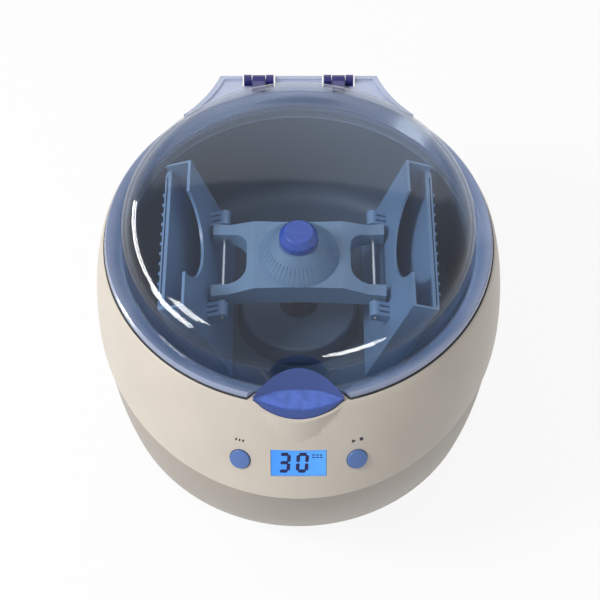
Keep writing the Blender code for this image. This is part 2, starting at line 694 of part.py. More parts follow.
# Casing pieces
def build_base_shell():
    """Make the lower casing, with the rear panel recess for the inlet and the switch."""
    mesh = stretch_front(turned("base_shell", base_shell_profile(), ring=True))
    shell = part("base_shell", mesh, BEIGE_DARK, 0.5)
    panel_y = REAR_PANEL_FACE_Y - REAR_PANEL_DEPTH / 2
    outer_width = 2 * (REAR_PANEL_HALF_WIDTH + REAR_PANEL_MARGIN)
    outer_height = REAR_PANEL_HEIGHT + 2 * REAR_PANEL_MARGIN
    backing_depth = BELLY_RADIUS - REAR_PANEL_FACE_Y + REAR_PANEL_DEPTH
    backing = cutter("rear_panel_backing", box("rear_panel_backing", (outer_width, backing_depth, outer_height),
                     (0, REAR_PANEL_FACE_Y - REAR_PANEL_DEPTH + backing_depth / 2, REAR_PANEL_Z)))
    bounds = [(0, BELLY_HEIGHT)] + [(base_radius(height) - WALL / 2, height)
                                    for height in heights(FOOT_HEIGHT + BASE_FILLET, BELLY_HEIGHT, 6)]
    bounds.append((0, FOOT_HEIGHT + BASE_FILLET))
    combine(backing, cutter("rear_panel_bounds", turned("rear_panel_bounds", bounds)), "INTERSECT")
    recess = box("rear_panel_recess", (2 * REAR_PANEL_HALF_WIDTH, 2 * OVERRUN, REAR_PANEL_HEIGHT),
                 (0, REAR_PANEL_FACE_Y + OVERRUN, REAR_PANEL_Z))
    inlet_hole = box("inlet_hole", (SOCKET_HOLE_WIDTH, 4 * OVERRUN, SOCKET_HOLE_HEIGHT),
                     (SOCKET_X, panel_y, REAR_PANEL_Z))
    switch_hole = box("switch_hole", (POWER_SWITCH_HOLE_WIDTH, 4 * OVERRUN, POWER_SWITCH_HOLE_HEIGHT),
                      (POWER_SWITCH_X, panel_y, REAR_PANEL_Z))
    join(shell, backing)
    cut(shell, cutter("rear_panel_recess", recess), cutter("inlet_hole", inlet_hole),
        cutter("switch_hole", switch_hole))
    for number in range(4):
        spot = screw_spot(number)
        hole = rod("case_hole", SCREW_RADIUS + 2 * FIT, (*spot, FOOT_HEIGHT - OVERRUN),
                   (*spot, FOOT_HEIGHT + OVERRUN), steps=12)
        cut(shell, cutter(f"case_hole_{number + 1}", hole))
    return smooth(shell)


def screw_spot(number):
    """Give the place in plan of one case screw."""
    angle = math.radians(FIRST_SCREW_ANGLE + 90 * number)
    return (SCREW_CIRCLE_RADIUS * math.cos(angle), SCREW_CIRCLE_RADIUS * math.sin(angle))


def build_upper_housing():
    """Make the upper casing, with its latch pod, window, button holes and board standoffs."""
    mesh = stretch_front(turned("upper_housing", housing_profile(), ring=True), kept_radius=RIM_INNER_RADIUS + FIT)
    shell = part("upper_housing", mesh, BEIGE, 0.45)
    pod = cutter("pod_body", extruded("pod_body", [pod_outline(POD_WALL + FIT)], POD_BOTTOM, LATCH_TOP))
    rear_room = box("pod_rear_room", (4 * LATCH_HALF_LENGTH, POD_SHELF_Y, 2 * (POD_SHELF_BOTTOM - POD_BOTTOM)),
                    (0, -POD_SHELF_Y / 2, POD_BOTTOM))
    cut(pod, cutter("pod_rear_room", rear_room), cutter("pod_slope", latch_top_tool(-POD_TOP_LIP)))
    join(shell, pod)
    pocket = extruded("latch_pocket", [pod_outline(FIT)], LATCH_FLOOR, LATCH_TOP + OVERRUN)
    stem_hole = box("latch_stem_hole", (LATCH_STEM_WIDTH + 4 * FIT, LATCH_STEM_DEPTH + 4 * FIT, 8 * OVERRUN),
                    (0, -LATCH_STEM_Y, LATCH_FLOOR))
    cut(shell, cutter("latch_pocket", pocket), cutter("latch_stem_hole", stem_hole))
    turn = front_turn(0, PANEL_Z)
    centre = front_point(0, PANEL_Z)
    window = box("window_hole", (WINDOW_WIDTH, WINDOW_HEIGHT, 4 * OVERRUN), centre, turn)
    cut(shell, cutter("window_hole", window))
    for side in (-1, 1):
        spot = front_point(side * BUTTON_X, BUTTON_Z)
        outward = front_normal(side * BUTTON_X, BUTTON_Z)
        hole = rod("button_hole", BUTTON_RADIUS + 1.5 * FIT, spot - outward * OVERRUN, spot + outward * OVERRUN)
        cut(shell, cutter("button_hole_" + side_name(side), hole))
    for x_side in (-1, 1):
        for y_side in (-1, 1):
            foot = centre + turn @ Vector((x_side * STANDOFF_X, y_side * STANDOFF_Y, FIT - BOARD_DEPTH))
            skin_depth = surface_depth(x_side * STANDOFF_X)
            head = centre + turn @ Vector((x_side * STANDOFF_X, y_side * STANDOFF_Y, -skin_depth - WALL / 2))
            post = rod("board_standoff", STANDOFF_RADIUS, foot, head, steps=12)
            join(shell, cutter(f"board_standoff_{side_name(x_side)}_{'low' if y_side < 0 else 'high'}", post))
    return smooth(shell)


def surface_depth(x):
    """Give how far the curved front falls back behind the panel's middle at a place across."""
    outward = front_normal(0, PANEL_Z)
    return (front_point(0, PANEL_Z) - front_point(x, PANEL_Z)).dot(outward)


def side_name(side):
    """Name the left or the right side."""
    return "left" if side < 0 else "right"


def build_chassis():
    """Make the steel chassis plate that drops into the base, with its screws and the feet."""
    low = CHASSIS_BOTTOM
    radius = BASE_OPENING_RADIUS + PLATE_OVERLAP
    plate = part("chassis_plate", turned("chassis_plate", [(0, CHASSIS_TOP), (radius, CHASSIS_TOP), (radius, low),
                                                           (0, low)]), STEEL, 0.4, 0.8)
    for number in range(4):
        spot = screw_spot(number)
        hole = rod("chassis_hole", SCREW_RADIUS + FIT, (*spot, low - OVERRUN), (*spot, low + OVERRUN), steps=12)
        cut(plate, cutter(f"chassis_hole_{number + 1}", hole))
        head_top = FOOT_HEIGHT - FIT
        head = rod("case_screw", SCREW_HEAD_RADIUS, (*spot, head_top - SCREW_HEAD_HEIGHT), (*spot, head_top),
                   steps=16)
        screw = part(f"case_screw_{number + 1}", head, STEEL, 0.3, 1.0)
        shank = rod("screw_shank", SCREW_RADIUS, (*spot, head_top - FIT), (*spot, CHASSIS_TOP), steps=12)
        join(screw, cutter(f"screw_shank_{number + 1}", shank))
        smooth(screw)
        angle = math.radians(45 + 90 * number)
        across = (FOOT_CIRCLE_RADIUS * math.cos(angle), FOOT_CIRCLE_RADIUS * math.sin(angle))
        foot = rod("foot", FOOT_RADIUS - FOOT_TAPER, (*across, 0), (*across, FOOT_HEIGHT - FIT),
                   end_radius=FOOT_RADIUS)
        smooth(part(f"foot_{number + 1}", foot, RUBBER_GREY, 0.9))
    return smooth(plate)


def build_chamber():
    """Make the chamber bowl, notched under the latch pod, with the lid's seal."""
    bowl = part("chamber_bowl", turned("chamber_bowl", bowl_profile(), ring=True), SLATE, 0.45)
    notch = extruded("bowl_notch", [pod_outline(POD_WALL + 3 * FIT)], POD_SHELF_BOTTOM - FIT, BOWL_TOP + OVERRUN)
    cut(bowl, cutter("bowl_notch", notch))
    smooth(bowl)
    outer = BOWL_FLANGE_RADIUS
    low = BOWL_TOP + FIT
    seal = part("lid_seal", turned("lid_seal", [(outer - SEAL_WIDTH, low + SEAL_HEIGHT), (outer, low + SEAL_HEIGHT),
                (outer, low), (outer - SEAL_WIDTH, low)], ring=True), BLACK, 0.8)
    cut(seal, cutter("seal_notch", extruded("seal_notch", [pod_outline(POD_WALL + 3 * FIT)], low - OVERRUN,
                                            low + 2 * OVERRUN)))
    return smooth(seal)


# Lid and hinge
def lid_profile():
    """List the lid's wall from its crest down the outer side and back up the inner side."""
    profile = dome_profile(0.0, LID_FOOT_HEIGHT + LID_WALL / 2)
    step_radius = BOWL_FLANGE_RADIUS - SEAL_WIDTH - 5 * FIT
    brim_edge = LID_RADIUS - (LID_RADIUS - LID_BRIM_CREST_RADIUS) / 3
    profile += [(LID_FOOT_RADIUS, LID_FOOT_HEIGHT), (LID_BRIM_CREST_RADIUS, LID_BRIM_TOP),
                (brim_edge, LID_BRIM_TOP - LID_WALL / 3), (LID_RADIUS, LID_BRIM_TOP - LID_WALL),
                (LID_RADIUS, LID_EDGE_BOTTOM), (step_radius, LID_EDGE_BOTTOM),
                (step_radius - FIT, LID_SKIRT_BOTTOM + LID_WALL), (LID_FOOT_RADIUS, LID_SKIRT_BOTTOM),
                (LID_WALL_RADIUS - LID_WALL, LID_SKIRT_BOTTOM)]
    return profile + dome_profile(LID_WALL, LID_SKIRT_BOTTOM)[-2::-1]


def tab_side(inset):
    """List the right side of the hinge tab in plan, drawn in by an inset, from rear to front."""
    rear = (TAB_HALF_WIDTH - inset, TAB_REAR - inset)
    front = (TAB_HALF_WIDTH + TAB_FLARE_WIDTH - inset * 1.5, TAB_REAR - TAB_FLARE_LENGTH + inset / 2)
    return bow(rear, front, TAB_RIB_WIDTH, 5)


def mirrored(points):
    """List points mirrored left to right and in the opposite order."""
    return [(-x, y) for x, y in reversed(points)]


def tab_outline():
    """List the hinge tab in plan: straight rear edge, flared sides and an arc under the brim."""
    right = tab_side(0)
    front_x, front_y = right[-1]
    start = math.degrees(math.atan2(front_y, front_x))
    return mirrored(right) + right + arc((0, 0), LID_BRIM_CREST_RADIUS - LID_WALL / 2, start, 180 - start, 12)


def tab_rib_outline():
    """List the raised border of the hinge tab in plan."""
    outer = mirrored(tab_side(0)) + tab_side(0)
    inner = mirrored(tab_side(TAB_RIB_WIDTH)) + tab_side(TAB_RIB_WIDTH)
    return outer + inner[::-1]


def build_lid():
    """Make the clear lid in one piece: dome, sloping brim, latch notch and hinge tab."""
    pivot = (0, HINGE_Y, HINGE_Z)
    lid = part("lid_shell", turned("lid_shell", lid_profile()), LID_TINT, 0.08, origin=pivot)
    tab_top = TAB_BOTTOM + TAB_THICKNESS
    tab = cutter("tab_plate", extruded("tab_plate", [tab_outline()], TAB_BOTTOM, tab_top))
    rib = cutter("tab_rib", extruded("tab_rib", [tab_rib_outline()], tab_top - FIT, tab_top + TAB_RIB_HEIGHT))
    middle_wall = LID_WALL / 2
    form = dome_profile(middle_wall, LID_SKIRT_BOTTOM + middle_wall) + [(0, LID_SKIRT_BOTTOM + middle_wall)]
    block = cutter("notch_block", turned("notch_block", form))
    reach = POD_WALL + FIT + POD_GAP
    outer_notch = extruded("lid_notch", [pod_outline(reach)], LID_SKIRT_BOTTOM - OVERRUN, LID_CREST_HEIGHT + OVERRUN)
    bounds = extruded("notch_bounds", [pod_outline(reach + NOTCH_WALL)], LID_SKIRT_BOTTOM - 2 * OVERRUN,
                      LID_CREST_HEIGHT + 2 * OVERRUN)
    combine(block, cutter("notch_bounds", bounds), "INTERSECT")
    join(lid, block)
    combine(lid, cutter("lid_notch", outer_notch), "DIFFERENCE", "MANIFOLD")
    join(lid, tab, rib)
    for side in (-1, 1):
        width = HINGE_BLOCK_WIDTH + 4 * HINGE_GAP
        front = HINGE_Y - HINGE_EAR_RADIUS - 2 * HINGE_GAP
        gap = box("tab_gap", (width, 2 * (TAB_REAR - front), 4 * OVERRUN), (side * HINGE_X, TAB_REAR, HINGE_Z))
        cut(lid, cutter("tab_gap_" + side_name(side), gap))
    return smooth(lid)


def build_hinge(side):
    """Make one hinge: the block on the casing's shoulder, its pin, and the arm on the lid."""
    name = side_name(side)
    x = side * HINGE_X
    axis = (x, HINGE_Y, HINGE_Z)
    half = HINGE_BLOCK_WIDTH / 2
    mesh = box("hinge_block", (HINGE_BLOCK_WIDTH, HINGE_BLOCK_DEPTH, HINGE_Z - HINGE_BLOCK_BOTTOM),
               (x, HINGE_Y - HINGE_EAR_RADIUS + HINGE_BLOCK_DEPTH / 2, (HINGE_Z + HINGE_BLOCK_BOTTOM) / 2))
    block = part("hinge_block_" + name, mesh, NAVY, 0.35)
    barrel = rod("hinge_barrel", HINGE_EAR_RADIUS, (x - half, HINGE_Y, HINGE_Z), (x + half, HINGE_Y, HINGE_Z))
    join(block, cutter("hinge_barrel_" + name, barrel))
    casing = [(0, RIM_HEIGHT + FIT), (RIM_RADIUS + FIT, RIM_HEIGHT + FIT)]
    casing += [(housing_radius(height) + FIT, height)
               for height in heights(BELLY_HEIGHT, RIM_HEIGHT - RIM_ROUND, 8)] + [(0, BELLY_HEIGHT)]
    arm_room = box("arm_room", (HINGE_ARM_WIDTH + 2 * HINGE_GAP, 4 * HINGE_BLOCK_DEPTH, 4 * HINGE_EAR_RADIUS),
                   (x, HINGE_Y, HINGE_Z + HINGE_EAR_RADIUS))
    bore = rod("hinge_bore", HINGE_PIN_RADIUS + FIT, (x - 2 * half, HINGE_Y, HINGE_Z),
               (x + 2 * half, HINGE_Y, HINGE_Z), steps=16)
    cut(block, cutter("casing_form_" + name, turned("casing_form", casing)), cutter("arm_room_" + name, arm_room),
        cutter("hinge_bore_" + name, bore))
    smooth(block)
    pin = rod("hinge_pin", HINGE_PIN_RADIUS, (x - half, HINGE_Y, HINGE_Z), (x + half, HINGE_Y, HINGE_Z), steps=16)
    smooth(part("hinge_pin_" + name, pin, STEEL, 0.25, 1.0))
    arm_bottom = max(LID_BRIM_TOP, TAB_BOTTOM + TAB_THICKNESS) + FIT
    arm_mesh = box("hinge_arm", (HINGE_ARM_WIDTH, HINGE_ARM_LENGTH, HINGE_ARM_THICKNESS),
                   (x, HINGE_Y - HINGE_ARM_LENGTH / 2, arm_bottom + HINGE_ARM_THICKNESS / 2))
    arm = part("hinge_arm_" + name, arm_mesh, NAVY, 0.35, origin=axis)
    reach = HINGE_ARM_WIDTH / 2
    knuckle = rod("hinge_knuckle", HINGE_KNUCKLE_RADIUS, (x - reach, HINGE_Y, HINGE_Z), (x + reach, HINGE_Y, HINGE_Z))
    knuckle_bore = rod("knuckle_bore", HINGE_PIN_RADIUS + FIT, (x - 2 * reach, HINGE_Y, HINGE_Z),
                       (x + 2 * reach, HINGE_Y, HINGE_Z), steps=16)
    join(arm, cutter("hinge_knuckle_" + name, knuckle))
    cut(arm, cutter("knuckle_bore_" + name, knuckle_bore))
    return smooth(arm)


# Latch
def latch_top_tool(shift):
    """Make the body above the latch's seat-shaped top, moved up by a shift."""
    rear = -LATCH_REAR + OVERRUN
    ridge = (-LATCH_RIDGE_Y, LATCH_RIDGE_Z + shift)
    front = (-LATCH_FRONT, LATCH_FRONT_Z + shift)
    beyond = (-LATCH_FRONT - 2 * OVERRUN, LATCH_FRONT_Z + shift - OVERRUN)
    above = LATCH_TOP + 2 * OVERRUN
    back_top = (-LATCH_REAR - OVERRUN / 6, LATCH_TOP + shift + 2 * FIT)
    outline = [(rear, above), (rear, LATCH_TOP + shift + 2 * FIT)]
    outline += bow(back_top, ridge, LATCH_CROWN / 2, 4)
    outline += bow(ridge, front, -LATCH_CROWN, 6)[1:]
    outline += [beyond, (beyond[0], above)]
    mesh = extruded("latch_top_tool", [outline], -2 * LATCH_HALF_LENGTH, 2 * LATCH_HALF_LENGTH)
    upright = Matrix(((0, 0, 1), (1, 0, 0), (0, 1, 0))).to_4x4()
    mesh.transform(upright)
    return mesh


def build_latch():
    """Make the oval latch button, with its guide stem."""
    low = LATCH_FLOOR + LATCH_TRAVEL + FIT
    mesh = extruded("latch_button", [pod_outline()], low, LATCH_TOP + OVERRUN)
    latch = part("latch_button", mesh, LATCH_BLUE, 0.35, origin=(0, -LATCH_STEM_Y, LATCH_FLOOR))
    stem = box("latch_stem", (LATCH_STEM_WIDTH, LATCH_STEM_DEPTH, low + FIT - LATCH_STEM_BOTTOM),
               (0, -LATCH_STEM_Y, (low + FIT + LATCH_STEM_BOTTOM) / 2))
    cut(latch, cutter("latch_slope", latch_top_tool(0)))
    join(latch, cutter("latch_stem", stem))
    return smooth(latch)


# Rotor
def yoke_outline():
    """List the yoke in plan: waisted front and rear edges and a round-rooted fork at each end."""
    tip = PIN_X + CARRIER_OFFSET / LEAN_COSINE - (PIN_Z - YOKE_BOTTOM) * LEAN_SINE / LEAN_COSINE - FIT
    depth = YOKE_HALF_DEPTH
    fork = YOKE_FORK_HALF_WIDTH + YOKE_FORK_FLARE
    outline = bow((-tip, -depth), (tip, -depth), -YOKE_WAIST, 8)
    outline += [(tip, -fork)] + fork_root(1) + [(tip, fork)]
    outline += bow((tip, depth), (-tip, depth), -YOKE_WAIST, 8)
    outline += [(-tip, fork)] + fork_root(-1) + [(-tip, -fork)]
    return outline


def fork_root(side):
    """List the round root of the fork on one side, from front to rear on the right."""
    centre_x = YOKE_FORK_ROOT + YOKE_FORK_ROUND
    centre_y = YOKE_FORK_HALF_WIDTH - YOKE_FORK_ROUND
    points = arc((centre_x, -centre_y), YOKE_FORK_ROUND, 270, 180, 4)
    points += arc((centre_x, centre_y), YOKE_FORK_ROUND, 180, 90, 4)
    return [(side * x, side * y) for x, y in points]


def build_yoke():
    """Make the rotor yoke: forked arms, crowned middle, fluted boss and hub under it."""
    crown_top = YOKE_ARM_TOP + YOKE_CROWN
    yoke = part("rotor_yoke", extruded("rotor_yoke", [yoke_outline()], YOKE_BOTTOM, crown_top), ROTOR_BLUE, 0.4,
                origin=(0, 0, YOKE_ARM_TOP))
    far = PIN_X * 2
    for side in (-1, 1):
        slope = [(side * YOKE_CROWN_TOP_HALF, crown_top), (side * YOKE_CROWN_REACH, YOKE_ARM_TOP),
                 (side * far, YOKE_ARM_TOP), (side * far, crown_top + OVERRUN),
                 (side * YOKE_CROWN_TOP_HALF, crown_top + OVERRUN)]
        mesh = extruded("yoke_slope", [slope], -far, far)
        mesh.transform(Matrix(((1, 0, 0), (0, 0, -1), (0, 1, 0))).to_4x4())
        cut(yoke, cutter("yoke_slope_" + side_name(side), mesh))
    boss_top = crown_top + BOSS_HEIGHT
    boss_profile = [(0, boss_top), (BOSS_TOP_RADIUS, boss_top), (BOSS_RADIUS - PLINTH_ROUND, crown_top + BOSS_HEIGHT / 4),
                    (BOSS_RADIUS, crown_top + FIT), (BOSS_RADIUS, crown_top - FIT), (0, crown_top - FIT)]
    hub = rod("yoke_hub", HUB_RADIUS, (0, 0, HUB_BOTTOM), (0, 0, YOKE_BOTTOM + FIT))
    boss = turned("yoke_boss", boss_profile, BOSS_STEPS)
    boss.transform(Matrix.Rotation(math.pi / BOSS_STEPS, 4, "Z"))
    join(yoke, cutter("yoke_boss", boss), cutter("yoke_hub", hub))
    bore = rod("yoke_bore", SHAFT_RADIUS + FIT, (0, 0, HUB_BOTTOM - OVERRUN), (0, 0, boss_top + OVERRUN))
    cut(yoke, cutter("yoke_bore", bore))
    for side in (-1, 1):
        pin_bore = rod("pin_bore", PIN_RADIUS + FIT, (side * PIN_X, -far, PIN_Z), (side * PIN_X, far, PIN_Z), steps=16)
        cut(yoke, cutter("pin_bore_" + side_name(side), pin_bore))
    return smooth(yoke)


def build_rotor():
    """Make the yoke, the shaft, the clamp knob and the two hanger pins."""
    build_yoke()
    seat = HUB_BOTTOM - FIT
    outline = [(0, SHAFT_TOP), (SHAFT_RADIUS, SHAFT_TOP), (SHAFT_RADIUS, seat), (COLLAR_RADIUS, seat),
               (COLLAR_RADIUS, seat - COLLAR_HEIGHT), (SHAFT_RADIUS, seat - COLLAR_HEIGHT),
               (SHAFT_RADIUS, SHAFT_BOTTOM), (0, SHAFT_BOTTOM)]
    shaft = turned("drive_shaft", outline, SMALL_STEPS)
    smooth(part("drive_shaft", shaft, STEEL, 0.25, 1.0, origin=(0, 0, YOKE_ARM_TOP)))
    low = KNOB_BOTTOM
    profile = [(0, KNOB_TOP), (KNOB_TOP_RADIUS, KNOB_TOP), (KNOB_RADIUS, KNOB_TOP - KNOB_CHAMFER),
               (KNOB_RADIUS, low), (0, low)]
    knob = part("rotor_knob", turned("rotor_knob", profile, KNOB_SIDES), KNOB_BLUE, 0.35, origin=(0, 0, low))
    bore = rod("knob_bore", SHAFT_RADIUS + FIT, (0, 0, low - OVERRUN), (0, 0, SHAFT_TOP + FIT))
    cut(knob, cutter("knob_bore", bore))
    smooth(knob, 20)
    for side in (-1, 1):
        x = side * PIN_X
        reach = YOKE_HALF_DEPTH + PIN_OVERHANG
        pin = rod("hanger_pin", PIN_RADIUS, (x, -reach, PIN_Z), (x, reach, PIN_Z), steps=16)
        smooth(part("hanger_pin_" + side_name(side), pin, STEEL, 0.2, 1.0))


def carrier_outline():
    """List the carrier's section in plan about its pin, with its outer corners rounded."""
    near = CARRIER_OFFSET
    far = CARRIER_FAR
    corner = (far - CARRIER_CORNER, CARRIER_HALF_LENGTH - CARRIER_CORNER)
    rear = arc(corner, CARRIER_CORNER, 0, 90, 4)
    front = [(x, -y) for x, y in reversed(rear)]
    return front + rear + [(near, CARRIER_HALF_LENGTH), (near, -CARRIER_HALF_LENGTH)]


def carrier_slot_tools():
    """Make the plate slot, the finger cut-out and the drop of the outer wall as tool bodies."""
    bottom = -CARRIER_BOTTOM
    top = CARRIER_TOP
    slot_start = CARRIER_OFFSET + CARRIER_INNER_WALL
    slot_end = slot_start + CARRIER_SLOT
    outer = CARRIER_FAR
    length = 2 * (CARRIER_HALF_LENGTH - CARRIER_END_WALL)
    slot_height = CARRIER_HEIGHT - CARRIER_FLOOR + OVERRUN
    slot = box("plate_slot", (CARRIER_SLOT, length, slot_height),
               ((slot_start + slot_end) / 2, 0, bottom + CARRIER_FLOOR + slot_height / 2))
    drop_start = slot_end - OVERRUN / 2
    drop = box("outer_drop", (outer + OVERRUN - drop_start, length, 2 * CARRIER_OUTER_DROP),
               ((outer + OVERRUN + drop_start) / 2, 0, top))
    groove_x = outer - CARRIER_SKIN - CARRIER_GROOVE / 2
    groove = box("wall_groove", (CARRIER_GROOVE, length - 2 * CARRIER_CORNER, 2 * (CARRIER_OUTER_DROP + CARRIER_GROOVE_DEPTH)),
                 (groove_x, 0, top))
    centre = (0, top + DIP_RISE)
    half_mouth = math.sqrt(DIP_RADIUS ** 2 - DIP_RISE ** 2)
    dip = arc(centre, DIP_RADIUS, 180, 360, 16)
    dip += [(half_mouth + DIP_FLARE, top + OVERRUN), (-half_mouth - DIP_FLARE, top + OVERRUN)]
    mesh = extruded("finger_dip", [dip], 0, slot_start + CARRIER_SLOT / 2)
    mesh.transform(Matrix(((0, 0, 1), (1, 0, 0), (0, 1, 0))).to_4x4())
    return [slot, drop, groove, mesh]


def carrier_rib_tools():
    """Make the ribs that stiffen the carrier's outer wall."""
    outer = CARRIER_FAR
    low = RIB_BOTTOM_RISE - CARRIER_BOTTOM
    high = CARRIER_TOP - RIB_TOP_DROP
    tools = []
    for number in range(RIB_COUNT):
        y = RIB_PITCH * (number - (RIB_COUNT - 1) / 2)
        tools.append(box("carrier_rib", (RIB_PROUD + 2 * FIT, RIB_WIDTH, high - low),
                         (outer + RIB_PROUD / 2 - FIT, y, (low + high) / 2)))
    return tools


def carrier_lug_tools():
    """Make the lugs that hang the carrier on its pin: a knuckle and three webs each."""
    reach = CARRIER_OFFSET + CARRIER_INNER_WALL / 2
    tools = []
    for end in (-1, 1):
        start = end * LUG_START
        stop = end * (LUG_START + LUG_LENGTH)
        tools.append(rod("lug_knuckle", LUG_RADIUS, (0, start, 0), (0, stop, 0), steps=16))
        for share in (0.0, 0.5, 1.0):
            y = end * (LUG_START + LUG_WEB / 2 + (LUG_LENGTH - LUG_WEB) * share)
            tools.append(box("lug_web", (reach, LUG_WEB, 2 * LUG_RADIUS - 2 * FIT), (reach / 2, y, 0)))
    return tools


def build_carrier(side):
    """Make one plate carrier upright about its pin, then lean it on the yoke's arms."""
    name = side_name(side)
    mesh = extruded("carrier", [carrier_outline()], -CARRIER_BOTTOM, CARRIER_TOP)
    carrier = part("carrier_" + name, mesh, CARRIER_BLUE, 0.4)
    place = Matrix.Translation((side * PIN_X, 0, PIN_Z))
    turn = Matrix.Rotation(math.radians(CARRIER_LEAN), 4, "Y")
    if side < 0:
        turn = Matrix.Rotation(math.pi, 4, "Z") @ turn
    carrier.matrix_local = place @ turn
    numbers = {"cut": 0, "join": 0}
    bore = rod("lug_bore", PIN_RADIUS + FIT, (0, -CARRIER_HALF_LENGTH, 0), (0, CARRIER_HALF_LENGTH, 0), steps=16)
    jobs = [("cut", item) for item in carrier_slot_tools()]
    jobs += [("join", item) for item in carrier_rib_tools() + carrier_lug_tools()]
    jobs.append(("cut", bore))
    for job, item in jobs:
        numbers[job] += 1
        tool = cutter(f"carrier_{name}_{job}_{numbers[job]}", item)
        tool.matrix_local = carrier.matrix_local
        if job == "cut":
            cut(carrier, tool)
        else:
            join(carrier, tool)
    return smooth(carrier)


# Control panel
def build_display():
    """Make the window, the LCD module and the control board behind the sloping front."""
    turn = front_turn(0, PANEL_Z)
    centre = front_point(0, PANEL_Z)
    outward = front_normal(0, PANEL_Z)
    front = WALL + surface_depth(LCD_WIDTH / 2) + 3 * FIT
    thickness = front - FIT - WINDOW_DEPTH
    pane = box("display_window", (WINDOW_WIDTH - 2 * FIT, WINDOW_HEIGHT - 2 * FIT, thickness),
               centre - outward * (WINDOW_DEPTH + thickness / 2), turn)
    part("display_window", pane, LCD_BLUE, 0.1)
    back = BOARD_DEPTH - FIT
    module = box("lcd_module", (LCD_WIDTH, LCD_HEIGHT, back - front), centre - outward * (front + back) / 2, turn)
    round_edges(part("lcd_module", module, BLACK, 0.4), FIT, 1)
    board = box("control_board", (BOARD_WIDTH, BOARD_HEIGHT, BOARD_THICKNESS),
                centre - outward * (BOARD_DEPTH + BOARD_THICKNESS / 2), turn)
    part("control_board", board, BOARD_GREEN, 0.5)


def build_key(side, name):
    """Make one push button, square to the curved front, and the switch it presses."""
    spot = front_point(side * BUTTON_X, BUTTON_Z)
    outward = front_normal(side * BUTTON_X, BUTTON_Z)
    board_normal = front_normal(0, PANEL_Z)
    board_face = front_point(0, PANEL_Z) - board_normal * BOARD_DEPTH
    reach = (spot - board_face).dot(board_normal) / outward.dot(board_normal)
    flange_top = WALL + 4 * FIT
    tip_depth = reach - SWITCH_HEIGHT - SWITCH_TIP_HEIGHT - 3 * FIT - BUTTON_TRAVEL
    profile = [(0, BUTTON_PROUD), (BUTTON_RADIUS - BUTTON_ROUND, BUTTON_PROUD),
               (BUTTON_RADIUS, BUTTON_PROUD - BUTTON_ROUND), (BUTTON_RADIUS, -flange_top),
               (BUTTON_FLANGE_RADIUS, -flange_top), (BUTTON_FLANGE_RADIUS, -flange_top - BUTTON_FLANGE),
               (BUTTON_STEM_RADIUS, -flange_top - BUTTON_FLANGE), (BUTTON_STEM_RADIUS, -tip_depth), (0, -tip_depth)]
    mesh = turned(name + "_button", profile, SMALL_STEPS)
    mesh.transform(Matrix.Translation(spot) @ outward.to_track_quat("Z", "Y").to_matrix().to_4x4())
    smooth(part(name + "_button", mesh, KEY_BLUE, 0.35, origin=spot))
    foot = spot - outward * reach
    turn = front_turn(0, PANEL_Z)
    body = box("key_switch", (SWITCH_SIDE, SWITCH_SIDE, SWITCH_HEIGHT), foot + board_normal * (SWITCH_HEIGHT / 2 + FIT),
               turn)
    switch = part(name + "_switch", body, BLACK, 0.5)
    head = foot + board_normal * (SWITCH_HEIGHT + FIT)
    tip = rod("switch_tip", SWITCH_TIP_RADIUS, head - board_normal * FIT, head + board_normal * SWITCH_TIP_HEIGHT,
              steps=12)
    join(switch, cutter(name + "_switch_tip", tip))


